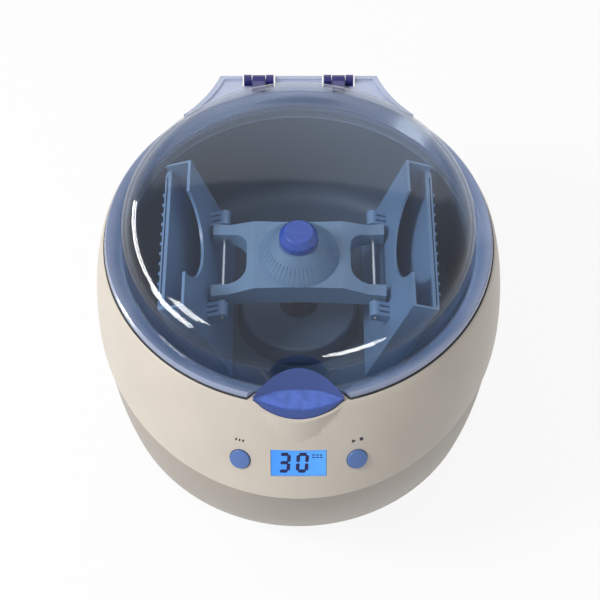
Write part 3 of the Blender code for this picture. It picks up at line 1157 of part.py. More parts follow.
# Drive and electrics
def build_drive():
    """Make the motor on its plate and three rubber mounts, and the seal round its shaft."""
    floor = CHASSIS_TOP + FIT
    for number in range(3):
        angle = math.radians(90 + 120 * number)
        across = Matrix.Translation((MOUNT_CIRCLE_RADIUS * math.cos(angle), MOUNT_CIRCLE_RADIUS * math.sin(angle),
                                     floor))
        waist = MOUNT_RADIUS - MOUNT_WAIST
        profile = [(0, MOUNT_HEIGHT), (MOUNT_RADIUS, MOUNT_HEIGHT), (MOUNT_RADIUS, MOUNT_HEIGHT * 0.8),
                   (waist, MOUNT_HEIGHT * 0.6), (waist, MOUNT_HEIGHT * 0.4), (MOUNT_RADIUS, MOUNT_HEIGHT * 0.2),
                   (MOUNT_RADIUS, 0), (0, 0)]
        mesh = turned("motor_mount", profile, SMALL_STEPS)
        mesh.transform(across)
        smooth(part(f"motor_mount_{number + 1}", mesh, RUBBER_GREY, 0.9))
    disc = [(0, MOTOR_PLATE_TOP), (MOTOR_PLATE_RADIUS, MOTOR_PLATE_TOP), (MOTOR_PLATE_RADIUS, MOTOR_PLATE_BOTTOM),
            (0, MOTOR_PLATE_BOTTOM)]
    smooth(part("motor_plate", turned("motor_plate", disc), STEEL, 0.35, 0.9))
    nose = MOTOR_TOP + MOTOR_NOSE_HEIGHT
    can = [(0, nose), (MOTOR_NOSE_RADIUS, nose), (MOTOR_NOSE_RADIUS, MOTOR_TOP),
           (MOTOR_RADIUS - MOTOR_EDGE, MOTOR_TOP), (MOTOR_RADIUS, MOTOR_TOP - MOTOR_EDGE),
           (MOTOR_RADIUS, MOTOR_BOTTOM), (0, MOTOR_BOTTOM)]
    motor = part("motor_body", turned("motor_body", can, 40), DARK_STEEL, 0.4, 0.9)
    bore = rod("motor_bore", SHAFT_RADIUS + FIT, (0, 0, SHAFT_BOTTOM - FIT), (0, 0, nose + OVERRUN))
    cut(motor, cutter("motor_bore", bore))
    smooth(motor)
    seat = BOWL_FLOOR_HEIGHT + PLINTH_HEIGHT + FIT
    inner = SHAFT_RADIUS + 1.5 * FIT
    collar = [(inner, seat + SHAFT_SEAL_HEIGHT), (SHAFT_SEAL_RADIUS - PLINTH_ROUND, seat + SHAFT_SEAL_HEIGHT),
              (SHAFT_SEAL_RADIUS, seat), (SHAFT_SEAL_NECK_RADIUS, seat), (SHAFT_SEAL_NECK_RADIUS, seat - 2 * BOWL_WALL),
              (inner, seat - 2 * BOWL_WALL)]
    smooth(part("shaft_seal", turned("shaft_seal", collar, SMALL_STEPS, ring=True), BLACK, 0.7))


def build_lid_switch():
    """Hang the lid's safety switch under the casing's ledge."""
    angle = math.radians(LID_SWITCH_ANGLE)
    top = RIM_HEIGHT - LEDGE_DROP - WALL - FIT
    turn = Matrix.Rotation(angle + math.pi / 2, 3, "Z")
    place = (LID_SWITCH_RADIUS * math.cos(angle), LID_SWITCH_RADIUS * math.sin(angle), top - LID_SWITCH_SIZE[2] / 2)
    mesh = box("lid_switch", LID_SWITCH_SIZE, place, turn)
    round_edges(part("lid_switch", mesh, BLACK, 0.5), FIT, 1)


def build_inlet():
    """Make the mains inlet in the rear panel, with its recess and three blades."""
    face = REAR_PANEL_FACE_Y + FIT
    flange = box("power_socket", (SOCKET_WIDTH, SOCKET_FLANGE, SOCKET_HEIGHT), (SOCKET_X, face + SOCKET_FLANGE / 2,
                 REAR_PANEL_Z))
    socket = part("power_socket", flange, BLACK, 0.5)
    body = box("socket_body", (SOCKET_HOLE_WIDTH - 2 * FIT, SOCKET_BODY_DEPTH, SOCKET_HOLE_HEIGHT - 2 * FIT),
               (SOCKET_X, face + FIT - SOCKET_BODY_DEPTH / 2, REAR_PANEL_Z))
    width = SOCKET_HOLE_WIDTH - 2 * SOCKET_RECESS_MARGIN
    height = SOCKET_HOLE_HEIGHT - 2 * SOCKET_RECESS_MARGIN
    recess = box("socket_recess", (width, 2 * SOCKET_RECESS_DEPTH, height),
                 (SOCKET_X, face + SOCKET_FLANGE, REAR_PANEL_Z))
    join(socket, cutter("socket_body", body))
    cut(socket, cutter("socket_recess", recess))
    for number in (-1, 0, 1):
        blade_length = SOCKET_BLADE[1]
        rise = SOCKET_BLADE[2] / 2 if number == 0 else -SOCKET_BLADE[2] / 4
        root = face + SOCKET_FLANGE - SOCKET_RECESS_DEPTH - FIT
        blade = box("socket_blade", SOCKET_BLADE, (SOCKET_X + number * SOCKET_BLADE_SPACING, root + blade_length / 2,
                                                   REAR_PANEL_Z + rise))
        join(socket, cutter(f"socket_blade_{number + 2}", blade))
    return smooth(socket)


def build_power_switch():
    """Make the power switch's frame and the rocker that tilts in it."""
    face = REAR_PANEL_FACE_Y + FIT
    flange = box("power_switch_frame", (POWER_SWITCH_WIDTH, SOCKET_FLANGE, POWER_SWITCH_HEIGHT),
                 (POWER_SWITCH_X, face + SOCKET_FLANGE / 2, REAR_PANEL_Z))
    frame = part("power_switch_frame", flange, BLACK, 0.45)
    body = box("switch_body", (POWER_SWITCH_HOLE_WIDTH - 2 * FIT, SOCKET_BODY_DEPTH, POWER_SWITCH_HOLE_HEIGHT - 2 * FIT),
               (POWER_SWITCH_X, face + FIT - SOCKET_BODY_DEPTH / 2, REAR_PANEL_Z))
    opening_width = POWER_SWITCH_HOLE_WIDTH - 2 * FRAME_WALL
    pivot = Vector((POWER_SWITCH_X, face + SOCKET_FLANGE - ROCKER_PIVOT_DEPTH, REAR_PANEL_Z))
    opening = rod("switch_opening", ROCKER_RADIUS, pivot - Vector((opening_width / 2, 0, 0)),
                  pivot + Vector((opening_width / 2, 0, 0)))
    join(frame, cutter("switch_body", body))
    cut(frame, cutter("switch_opening", opening))
    smooth(frame)
    half = opening_width / 2 - ROCKER_CLEARANCE
    radius = ROCKER_RADIUS - ROCKER_CLEARANCE
    mesh = rod("power_rocker", radius, pivot - Vector((half, 0, 0)), pivot + Vector((half, 0, 0)))
    rocker = part("power_rocker", mesh, BLACK, 0.4, origin=pivot)
    tilt = Matrix.Rotation(math.radians(ROCKER_TILT / 2), 3, "X")
    for sign in (-1, 1):
        turn = Matrix.Rotation(math.radians(sign * ROCKER_TILT / 2), 3, "X") @ tilt
        reach = ROCKER_PIVOT_DEPTH + ROCKER_PROUD
        block = box("rocker_face", (4 * half, 4 * radius, 4 * radius), pivot + turn @ Vector((0, reach + 2 * radius, 0)),
                    turn)
        cut(rocker, cutter("rocker_face_" + ("top" if sign > 0 else "bottom"), block))
    return smooth(rocker)


clear_scene()
PARTS = new_collection("mini_centrifuge")
CUTTERS = new_collection("cutters")
ROOT = bpy.data.objects.new("rotor_axis_root", None)
PARTS.objects.link(ROOT)
ROOT.location = (0, ROOT_SHIFT, 0)

build_base_shell()
build_upper_housing()
build_chassis()
build_chamber()
build_lid()
for hinge_side in (-1, 1):
    build_hinge(hinge_side)
build_latch()
build_rotor()
for carrier_side in (-1, 1):
    build_carrier(carrier_side)
build_display()
build_key(-1, "set")
build_key(1, "run")
build_drive()
build_lid_switch()
build_inlet()
build_power_switch()
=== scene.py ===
"""Mini centrifuge for microplates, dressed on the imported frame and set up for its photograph.

Metres, +Z up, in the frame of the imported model: the control panel faces -Y and the hinge +Y.
Forms are laid out from the rotor's axis, as the solids are, and moved onto the frame at the end.
"""
from __future__ import annotations

import logging
import math
from dataclasses import dataclass
from enum import Enum
from typing import Callable, ClassVar, Mapping, Sequence, Union

import bmesh
import bpy
from mathutils import Matrix, Vector


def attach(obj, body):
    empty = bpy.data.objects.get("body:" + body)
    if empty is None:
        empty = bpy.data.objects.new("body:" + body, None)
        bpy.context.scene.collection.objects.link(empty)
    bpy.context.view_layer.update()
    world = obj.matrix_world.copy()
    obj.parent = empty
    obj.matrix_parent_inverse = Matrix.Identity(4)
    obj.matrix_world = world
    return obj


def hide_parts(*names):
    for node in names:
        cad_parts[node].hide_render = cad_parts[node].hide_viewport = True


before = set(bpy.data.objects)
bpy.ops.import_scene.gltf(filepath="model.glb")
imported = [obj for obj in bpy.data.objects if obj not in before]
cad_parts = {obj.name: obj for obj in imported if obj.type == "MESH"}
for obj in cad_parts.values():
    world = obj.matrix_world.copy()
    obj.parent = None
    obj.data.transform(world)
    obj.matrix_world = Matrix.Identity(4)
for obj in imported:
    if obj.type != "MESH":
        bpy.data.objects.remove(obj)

LOG = logging.getLogger("mini_centrifuge")
MM = 0.001

# Clearance between pieces, distance within which points merge, and how far a cut reaches out
FIT = 0.3 * MM
MERGE = 0.005 * MM
REACH = 6 * MM

# Faces round a turned shell, a hole, a rod and a pin
FINE_STEPS = 144
HOLE_STEPS = 48
ROUND_STEPS = 32
PIN_STEPS = 20

# Place of the rotor's axis, and the turn that lays an outline in Y and Z and raises it along X
AXIS = Vector((0, 15 * MM, 0))
UPRIGHT = Matrix(((0, 0, 1), (1, 0, 0), (0, 1, 0))).to_4x4()

Pair = tuple[float, float]
Triple = tuple[float, float, float]
Colour = tuple[float, float, float, float]

# Screen colours follow the usual curve: straight below its knee and a power above it
CURVE_KNEE = 0.04045
CURVE_SLOPE = 12.92
CURVE_OFFSET = 0.055
CURVE_POWER = 2.4


def ink(red: int, green: int, blue: int) -> Colour:
    """Turn a colour seen on screen, 0 to 255, into the linear colour a shader takes.

    Args:
        red: share of red.
        green: share of green.
        blue: share of blue.

    Returns:
        The linear colour, opaque.
    """
    linear = []
    for share in (red / 255, green / 255, blue / 255):
        curved = ((share + CURVE_OFFSET) / (1 + CURVE_OFFSET)) ** CURVE_POWER
        linear.append(share / CURVE_SLOPE if share <= CURVE_KNEE else curved)
    return (linear[0], linear[1], linear[2], 1.0)


def shaded(colour: Colour, share: float) -> Colour:
    """Scale a colour's brightness by a share."""
    return (colour[0] * share, colour[1] * share, colour[2] * share, 1.0)


class Body(Enum):
    """Bodies of the frame that pieces ride on."""

    CASING = "casing"
    LID = "lid"
    ROTOR = "rotor"
    KNOB = "knob"
    LEFT_CARRIER = "left_carrier"
    RIGHT_CARRIER = "right_carrier"
    LATCH = "latch"
    SET_KEY = "set_key"
    RUN_KEY = "run_key"
    ROCKER = "rocker"


class Join(Enum):
    """Ways of combining two forms."""

    UNION = "UNION"
    DIFFERENCE = "DIFFERENCE"
    INTERSECT = "INTERSECT"


# Shader graphs
class Wire:
    """A socket of a shader graph that can be reckoned with like a number."""

    def __init__(self, graph: Graph, socket: bpy.types.NodeSocket) -> None:
        """Hold a socket of a graph."""
        self.graph = graph
        self.socket = socket

    def maths(self, operation: str, first: Term, second: Term) -> Wire:
        """Add a Math node of an operation on two terms."""
        return self.graph.node("ShaderNodeMath", {"operation": operation}, {0: first, 1: second})

    def __add__(self, other: Term) -> Wire:
        """Add a term."""
        return self.maths("ADD", self, other)

    def __radd__(self, other: Term) -> Wire:
        """Add to a term."""
        return self.maths("ADD", other, self)

    def __sub__(self, other: Term) -> Wire:
        """Take a term away."""
        return self.maths("SUBTRACT", self, other)

    def __rsub__(self, other: Term) -> Wire:
        """Take away from a term."""
        return self.maths("SUBTRACT", other, self)

    def __mul__(self, other: Term) -> Wire:
        """Multiply by a term."""
        return self.maths("MULTIPLY", self, other)

    def __rmul__(self, other: Term) -> Wire:
        """Multiply a term."""
        return self.maths("MULTIPLY", other, self)

    def __pow__(self, other: Term) -> Wire:
        """Raise to a power."""
        return self.maths("POWER", self, other)

    def spread(self, low: float, high: float, start: float = 0.0, end: float = 1.0) -> Wire:
        """Map the range from low to high onto start to end, and hold it there.

        Args:
            low: value that becomes start.
            high: value that becomes end.
            start: result at low.
            end: result at high.

        Returns:
            The mapped value.
        """
        values = {"Value": self, "From Min": low, "From Max": high, "To Min": start, "To Max": end}
        return self.graph.node("ShaderNodeMapRange", {"clamp": True}, values)


Term = Union[Wire, float]


class Graph:
    """The node graph of one material or of the world."""

    def __init__(self, tree: bpy.types.NodeTree) -> None:
        """Start from an emptied tree."""
        self.tree = tree
        self.tree.nodes.clear()

    @classmethod
    def material(cls, name: str) -> tuple[bpy.types.Material, Graph]:
        """Make a material and its graph.

        Args:
            name: name of the material.

        Returns:
            The material and its graph.
        """
        made = bpy.data.materials.new(name)
        made.use_nodes = True
        return made, cls(made.node_tree)

    def node(self, kind: str, settings: Mapping[str, object], values: Mapping,
             output: int | str = 0) -> Wire:
        """Add a node.

        Args:
            kind: type of the node.
            settings: properties of the node by name.
            values: numbers, colours or wires by input.
            output: which output to return.

        Returns:
            The chosen output.
        """
        made = self.tree.nodes.new(kind)
        for name, value in settings.items():
            setattr(made, name, value)
        for key, value in values.items():
            if isinstance(value, Wire):
                self.tree.links.new(value.socket, made.inputs[key])
            else:
                made.inputs[key].default_value = value
        return Wire(self, made.outputs[output])

    def place(self) -> Wire:
        """Give the object coordinates, which are metres in the frame."""
        return self.node("ShaderNodeTexCoord", {}, {}, "Object")

    def axis_place(self, index: int) -> Wire:
        """Give one object coordinate by its number."""
        return self.node("ShaderNodeSeparateXYZ", {}, {0: self.place()}, index)

    def from_axis(self) -> Wire:
        """Give the distance from the rotor's axis.

        Returns:
            The distance in metres.
        """
        across = self.axis_place(0)
        along = self.axis_place(1) - AXIS.y
        return (across * across + along * along) ** 0.5

    def noise(self, size: float, detail: float = 2.0, stretch: Sequence[float] = (1, 1, 1)) -> Wire:
        """Give soft noise.

        Args:
            size: width of its spots.
            detail: octaves of finer noise.
            stretch: scale of the coordinates along each axis.

        Returns:
            A value about 0.5.
        """
        settings = {"operation": "MULTIPLY"}
        spot = self.node("ShaderNodeVectorMath", settings, {0: self.place(), 1: tuple(stretch)})
        return self.node("ShaderNodeTexNoise", {}, {"Vector": spot, "Scale": 1 / size, "Detail": detail})

    def speckle(self, size: float) -> Wire:
        """Give the distance to scattered points, for a pebbled grain."""
        return self.node("ShaderNodeTexVoronoi", {}, {"Vector": self.place(), "Scale": 1 / size})

    def mixed(self, factor: Term, first: Wire | Colour, second: Wire | Colour) -> Wire:
        """Blend two colours."""
        return self.node("ShaderNodeMix", {"data_type": "RGBA"}, {0: factor, 6: first, 7: second}, 2)

    def worn(self) -> Wire:
        """Give the mark that rounding leaves on a piece's edges, with any spots a rule adds, which paints
        them lighter as wear and as painted highlights.
        """
        return self.node("ShaderNodeAttribute", {"attribute_name": Form.WORN}, {}, "Fac")

    def bump(self, height: Wire, distance: float) -> Wire:
        """Give the normal of a surface raised by a height."""
        values = {"Height": height, "Distance": distance}
        return self.node("ShaderNodeBump", {}, values)

    def principled(self, values: Mapping[str, object]) -> Wire:
        """Add a Principled shader."""
        return self.node("ShaderNodeBsdfPrincipled", {}, values)

    def layered(self, factor: Term, under: Wire, over: Wire) -> Wire:
        """Blend two shaders."""
        return self.node("ShaderNodeMixShader", {}, {0: factor, 1: under, 2: over})

    def grazing(self) -> Wire:
        """Give how far a surface is seen edge-on, the same from either side."""
        return self.node("ShaderNodeLayerWeight", {}, {"Blend": 0.5}, "Facing")

    def show(self, shader: Wire, kind: str = "ShaderNodeOutputMaterial") -> None:
        """Send a shader to the output."""
        target = self.tree.nodes.new(kind)
        self.tree.links.new(shader.socket, target.inputs["Surface"])


# Finishes
@dataclass(frozen=True)
class Finish:
    """A surface finish, whose material is made once."""

    name: str

    def material(self) -> bpy.types.Material:
        """Return the finish's material."""
        found = bpy.data.materials.get(self.title())
        return found if found is not None else self.made()

    def title(self) -> str:
        """Give the material's name."""
        return self.name + "_finish"

    def made(self) -> bpy.types.Material:
        """Make the material."""
        raise NotImplementedError


@dataclass(frozen=True)
class MouldedPlastic(Finish):
    """Injection-moulded plastic with a fine grain, faint flow marks, and edges painted lighter, partly as
    wear and partly as painted highlights.
    """

    colour: Colour
    roughness: float = 0.42
    grain: float = 0.5 * MM
    grain_depth: float = 0.02 * MM
    mottle_share: float = 0.04
    wear_highlight_share: float = 0.5
    wear_highlight_lift: float = 1.5
    coat: float = 0.0
    cloud: float = 38 * MM
    scuff: float = 3 * MM
    wear_highlight_patch: float = 6 * MM

    def made(self) -> bpy.types.Material:
        """Make the plastic from soft clouds, a pebbled grain, hairline scuffs, and edges painted lighter as
        wear and as painted highlights.

        Returns:
            The new material.
        """
        made, graph = Graph.material(self.title())
        clouds = graph.noise(self.cloud, 3.0)
        pebbles = graph.speckle(self.grain)
        scuffs = graph.noise(self.scuff, 4.0, (0.25, 1.4, 1.0)).spread(0.62, 0.74)
        flow = graph.mixed(clouds.spread(0.35, 0.65), shaded(self.colour, 1 - self.mottle_share),
                           shaded(self.colour, 1 + self.mottle_share))
        patches = graph.noise(self.wear_highlight_patch, 3.0).spread(0.3, 0.6, 0.45, 1.0)
        # Marked edges and spots turn lighter: partly wear, partly painted highlights on edges and on the
        # latch pad.
        wear_and_highlight = graph.worn() * self.wear_highlight_share * patches
        lifted = tuple(min(1.0, value * self.wear_highlight_lift + 0.02) for value in self.colour[:3])
        colour = graph.mixed(wear_and_highlight, flow, (*lifted, 1.0))
        roughness = clouds.spread(0.3, 0.7, self.roughness - 0.05, self.roughness + 0.05) + scuffs * 0.08
        height = pebbles + graph.noise(self.grain * 6, 2.0) * 0.6 - scuffs * 0.3
        values = {"Base Color": colour, "Roughness": roughness - wear_and_highlight * 0.08, "IOR": 1.5,
                  "Normal": graph.bump(height, self.grain_depth), "Coat Weight": self.coat,
                  "Coat Roughness": 0.12}
        graph.show(graph.principled(values))
        return made


@dataclass(frozen=True)
class ClearPlastic(Finish):
    """The lid's clear acrylic, lightly tinted, and denser in its brim and tab."""

    tint: Colour = ink(248, 250, 252)
    body: Colour = ink(120, 144, 186)
    edge: Colour = ink(176, 188, 220)
    dome_opacity: float = 0.012
    brim_opacity: float = 0.6
    dome_radius: float = 127.5 * MM
    brim_radius: float = 130.5 * MM
    edge_start: float = 132 * MM
    edge_end: float = 139 * MM
    mirror_share: float = 0.017
    grazing_share: float = 0.9
    grazing_power: float = 4.0

    def made(self) -> bpy.types.Material:
        """Make the acrylic: a see-through body under a gloss that grows at a grazing angle.

        Returns:
            The new material.
        """
        made, graph = Graph.material(self.title())
        dust = graph.noise(1.1 * MM, 4.0).spread(0.66, 0.8)
        haze = graph.noise(45 * MM, 3.0)
        hairlines = graph.noise(2.2 * MM, 3.0, (1.0, 0.12, 1.0)).spread(0.68, 0.75)
        brim = graph.from_axis().spread(self.dome_radius, self.brim_radius,
                                        self.dome_opacity, self.brim_opacity)
        opacity = brim + haze.spread(0.3, 0.7, 0.0, 0.012) + dust * 0.015
        outer = graph.from_axis().spread(self.edge_start, self.edge_end)
        colour = graph.mixed(outer + haze.spread(0.35, 0.65, -0.1, 0.1), self.body, self.edge)
        relief = graph.bump(haze + hairlines * 0.02, 0.03 * MM)
        rough = haze.spread(0.3, 0.7, 0.03, 0.07) + hairlines * 0.1
        clear = graph.node("ShaderNodeBsdfTransparent", {}, {"Color": self.tint})
        solid = graph.principled({"Base Color": colour, "Roughness": rough + 0.1, "Normal": relief})
        gloss = graph.node("ShaderNodeBsdfGlossy", {}, {"Roughness": rough, "Normal": relief})
        mirror = graph.grazing() ** self.grazing_power * self.grazing_share + self.mirror_share
        graph.show(graph.layered(mirror, graph.layered(opacity, clear, solid), gloss))
        return made


@dataclass(frozen=True)
class GroundSteel(Finish):
    """Bare metal with fine grinding marks."""

    colour: Colour = ink(196, 198, 202)
    roughness: float = 0.28
    metallic: float = 1.0
    stretch: Triple = (1.0, 0.06, 1.0)

    def made(self) -> bpy.types.Material:
        """Make the metal from drawn-out noise, tarnish and bright edges.

        Returns:
            The new material.
        """
        made, graph = Graph.material(self.title())
        lines = graph.noise(0.5 * MM, 3.0, self.stretch)
        tarnish = graph.noise(12 * MM, 3.0)
        dull = graph.mixed(tarnish.spread(0.35, 0.7), self.colour, shaded(self.colour, 0.8))
        colour = graph.mixed(graph.worn() * 0.5, dull, shaded(self.colour, 1.15))
        rough = lines.spread(0.3, 0.7, self.roughness - 0.06, self.roughness + 0.1)
        values = {"Base Color": colour, "Roughness": rough, "Metallic": self.metallic,
                  "Normal": graph.bump(lines, 0.01 * MM)}
        graph.show(graph.principled(values))
        return made


@dataclass(frozen=True)
class SoftRubber(Finish):
    """Matt rubber with dust in its pores."""

    colour: Colour = ink(42, 43, 46)
    roughness: float = 0.78

    def made(self) -> bpy.types.Material:
        """Make the rubber from pores, dust and scuffed edges.

        Returns:
            The new material.
        """
        made, graph = Graph.material(self.title())
        pores = graph.speckle(0.35 * MM)
        dust = graph.noise(9 * MM, 4.0).spread(0.45, 0.75, 0.0, 0.3) + graph.worn() * 0.25
        values = {"Base Color": graph.mixed(dust, self.colour, ink(96, 96, 98)),
                  "Roughness": pores.spread(0.0, 0.8, self.roughness, self.roughness + 0.12),
                  "Normal": graph.bump(pores, 0.04 * MM)}
        graph.show(graph.principled(values))
        return made


@dataclass(frozen=True)
class LitDisplay(Finish):
    """A backlit blue display, a little brighter where its lamp is."""

    colour: Colour = ink(62, 150, 250)
    bright: Colour = ink(104, 184, 255)
    strength: float = 0.55
    half_width: float = 19 * MM

    def made(self) -> bpy.types.Material:
        """Make the display from a glow that grows to the right and a faint cell pattern.

        Returns:
            The new material.
        """
        made, graph = Graph.material(self.title())
        side = graph.axis_place(0).spread(-self.half_width, self.half_width)
        cloud = graph.noise(7 * MM, 2.0)
        glow = graph.mixed(side * cloud.spread(0.3, 0.7, 0.5, 1.0), self.colour, self.bright)
        cells = graph.speckle(0.45 * MM)
        values = {"Base Color": shaded(self.colour, 0.6), "Emission Color": glow,
                  "Emission Strength": self.strength, "Roughness": cells.spread(0.0, 0.8, 0.16, 0.26),
                  "Normal": graph.bump(cells, 0.01 * MM)}
        graph.show(graph.principled(values))
        return made


@dataclass(frozen=True)
class BoardLaminate(Finish):
    """A circuit board under green lacquer."""

    colour: Colour = ink(24, 92, 52)
    track: Colour = ink(64, 138, 78)

    def made(self) -> bpy.types.Material:
        """Make the laminate from tracks that stand through the lacquer.

        Returns:
            The new material.
        """
        made, graph = Graph.material(self.title())
        tracks = graph.noise(2.5 * MM, 0.0, (0.2, 1.0, 1.0)).spread(0.5, 0.52)
        weave = graph.noise(0.6 * MM, 2.0)
        values = {"Base Color": graph.mixed(tracks, self.colour, self.track),
                  "Roughness": weave.spread(0.3, 0.7, 0.3, 0.42), "Normal": graph.bump(tracks, 0.05 * MM)}
        graph.show(graph.principled(values))
        return made


@dataclass(frozen=True)
class StudioFloor(Finish):
    """A pale floor that reads as white, apart from the object's soft shadow."""

    colour: Colour = ink(246, 246, 246)
    lift_share: float = 0.9

    def made(self) -> bpy.types.Material:
        """Make the floor, part lit and part plain white where it is looked at.

        Returns:
            The new material.
        """
        made, graph = Graph.material(self.title())
        lit = graph.node("ShaderNodeBsdfDiffuse", {}, {"Color": self.colour})
        white = graph.node("ShaderNodeEmission", {}, {"Color": (1, 1, 1, 1), "Strength": 1.0})
        graph.show(graph.layered(Studio.looked_at(graph) * self.lift_share, lit, white))
        return made


class Palette(Enum):
    """Finishes of the object."""

    CASING = MouldedPlastic(
        "casing_beige", ink(208, 199, 187), roughness=0.42, grain=0.55 * MM, mottle_share=0.025,
        wear_highlight_share=0.3, wear_highlight_lift=1.2)
    # The lower casing is the casing's beige painted darker, as painted shade on the lower part.
    SHADED_BASE = MouldedPlastic(
        "base_beige", ink(170, 162, 152), roughness=0.47, grain=0.55 * MM, mottle_share=0.03,
        wear_highlight_share=0.3, wear_highlight_lift=1.2)
    # The chamber's edge marks are lifted much lighter, as a painted highlight line along the bowl's lip.
    CHAMBER = MouldedPlastic(
        "chamber_slate", ink(76, 95, 118), roughness=0.55, grain=0.6 * MM, grain_depth=0.002 * MM,
        mottle_share=0.05, wear_highlight_share=0.8, wear_highlight_lift=2.6)
    LID = ClearPlastic("lid_clear")
    HINGE = MouldedPlastic(
        "hinge_navy", ink(26, 20, 104), roughness=0.3, grain_depth=0.01 * MM, mottle_share=0.06,
        wear_highlight_lift=1.8, coat=0.3)
    ROTOR = MouldedPlastic(
        "rotor_blue", ink(108, 138, 170), roughness=0.34, grain=0.6 * MM, grain_depth=0.008 * MM,
        mottle_share=0.05, wear_highlight_share=0.6, wear_highlight_lift=1.6)
    # The carriers' edge marks are lifted much lighter, as painted highlights along their edges.
    CARRIER = MouldedPlastic(
        "carrier_blue", ink(108, 140, 178), roughness=0.34, grain=0.6 * MM, grain_depth=0.008 * MM,
        mottle_share=0.05, wear_highlight_share=0.95, wear_highlight_lift=3.4)
    KNOB = MouldedPlastic(
        "knob_blue", ink(32, 78, 182), roughness=0.3, grain=0.4 * MM, grain_depth=0.01 * MM,
        mottle_share=0.05, coat=0.2)
    # The latch's marks turn lighter: worn edges, and a painted highlight on its dished pad.
    LATCH = MouldedPlastic(
        "latch_blue", ink(50, 76, 146), roughness=0.32, grain_depth=0.006 * MM, wear_highlight_share=0.9,
        wear_highlight_lift=2.4, coat=0.2)
    KEY = MouldedPlastic(
        "key_blue", ink(84, 118, 182), roughness=0.32, grain=0.4 * MM, grain_depth=0.01 * MM,
        mottle_share=0.05, wear_highlight_share=0.4, wear_highlight_lift=1.4, coat=0.2)
    DISPLAY = LitDisplay("display_blue")
    STEEL = GroundSteel("steel")
    SHEET = GroundSteel(
        "sheet_steel", ink(176, 178, 182), roughness=0.36, metallic=0.9, stretch=(1.0, 0.2, 1.0))
    MOTOR = GroundSteel(
        "motor_grey", ink(104, 106, 112), roughness=0.42, metallic=0.85, stretch=(0.2, 0.2, 1.0))
    BLACK = MouldedPlastic(
        "black_plastic", ink(34, 34, 37), grain=0.6 * MM, mottle_share=0.1, wear_highlight_lift=1.8)
    BOARD = BoardLaminate("board_green")
    RUBBER = SoftRubber("rubber")
    DIGIT = MouldedPlastic(
        "digit_ink", ink(6, 8, 84), roughness=0.3, grain=0.4 * MM, grain_depth=0.002 * MM,
        mottle_share=0.1, wear_highlight_share=0.0)
    PRINT = MouldedPlastic(
        "print_ink", ink(48, 46, 52), roughness=0.5, grain=0.4 * MM, grain_depth=0.002 * MM,
        mottle_share=0.1, wear_highlight_share=0.0)


# Modelling
def arc(centre: Pair, radius: float, start: float, end: float, count: int) -> list[Pair]:
    """List points on an arc between two angles in degrees.

    Args:
        centre: middle of the arc.
        radius: its radius.
        start: angle of the first point.
        end: angle of the last point.
        count: steps between the points.

    Returns:
        The points, one more than the steps.
    """
    angles = [math.radians(start + (end - start) * number / count) for number in range(count + 1)]
    return [(centre[0] + radius * math.cos(angle), centre[1] + radius * math.sin(angle))
            for angle in angles]


def bow(start: Pair, end: Pair, rise: float, count: int) -> list[Pair]:
    """List points on a shallow curve that rises to the right of its chord.

    Args:
        start: first point.
        end: last point.
        rise: height of the middle over the chord.
        count: steps between the points.

    Returns:
        The points, one more than the steps.
    """
    chord = math.hypot(end[0] - start[0], end[1] - start[1])
    along = ((end[0] - start[0]) / chord, (end[1] - start[1]) / chord)
    points = []
    for number in range(count + 1):
        share = number / count
        lift = rise * 4 * share * (1 - share)
        points.append((start[0] + along[0] * chord * share + along[1] * lift,
                       start[1] + along[1] * chord * share - along[0] * lift))
    return points


def levels(high: float, low: float, count: int) -> list[float]:
    """List heights from high to low."""
    return [high + (low - high) * number / count for number in range(count + 1)]


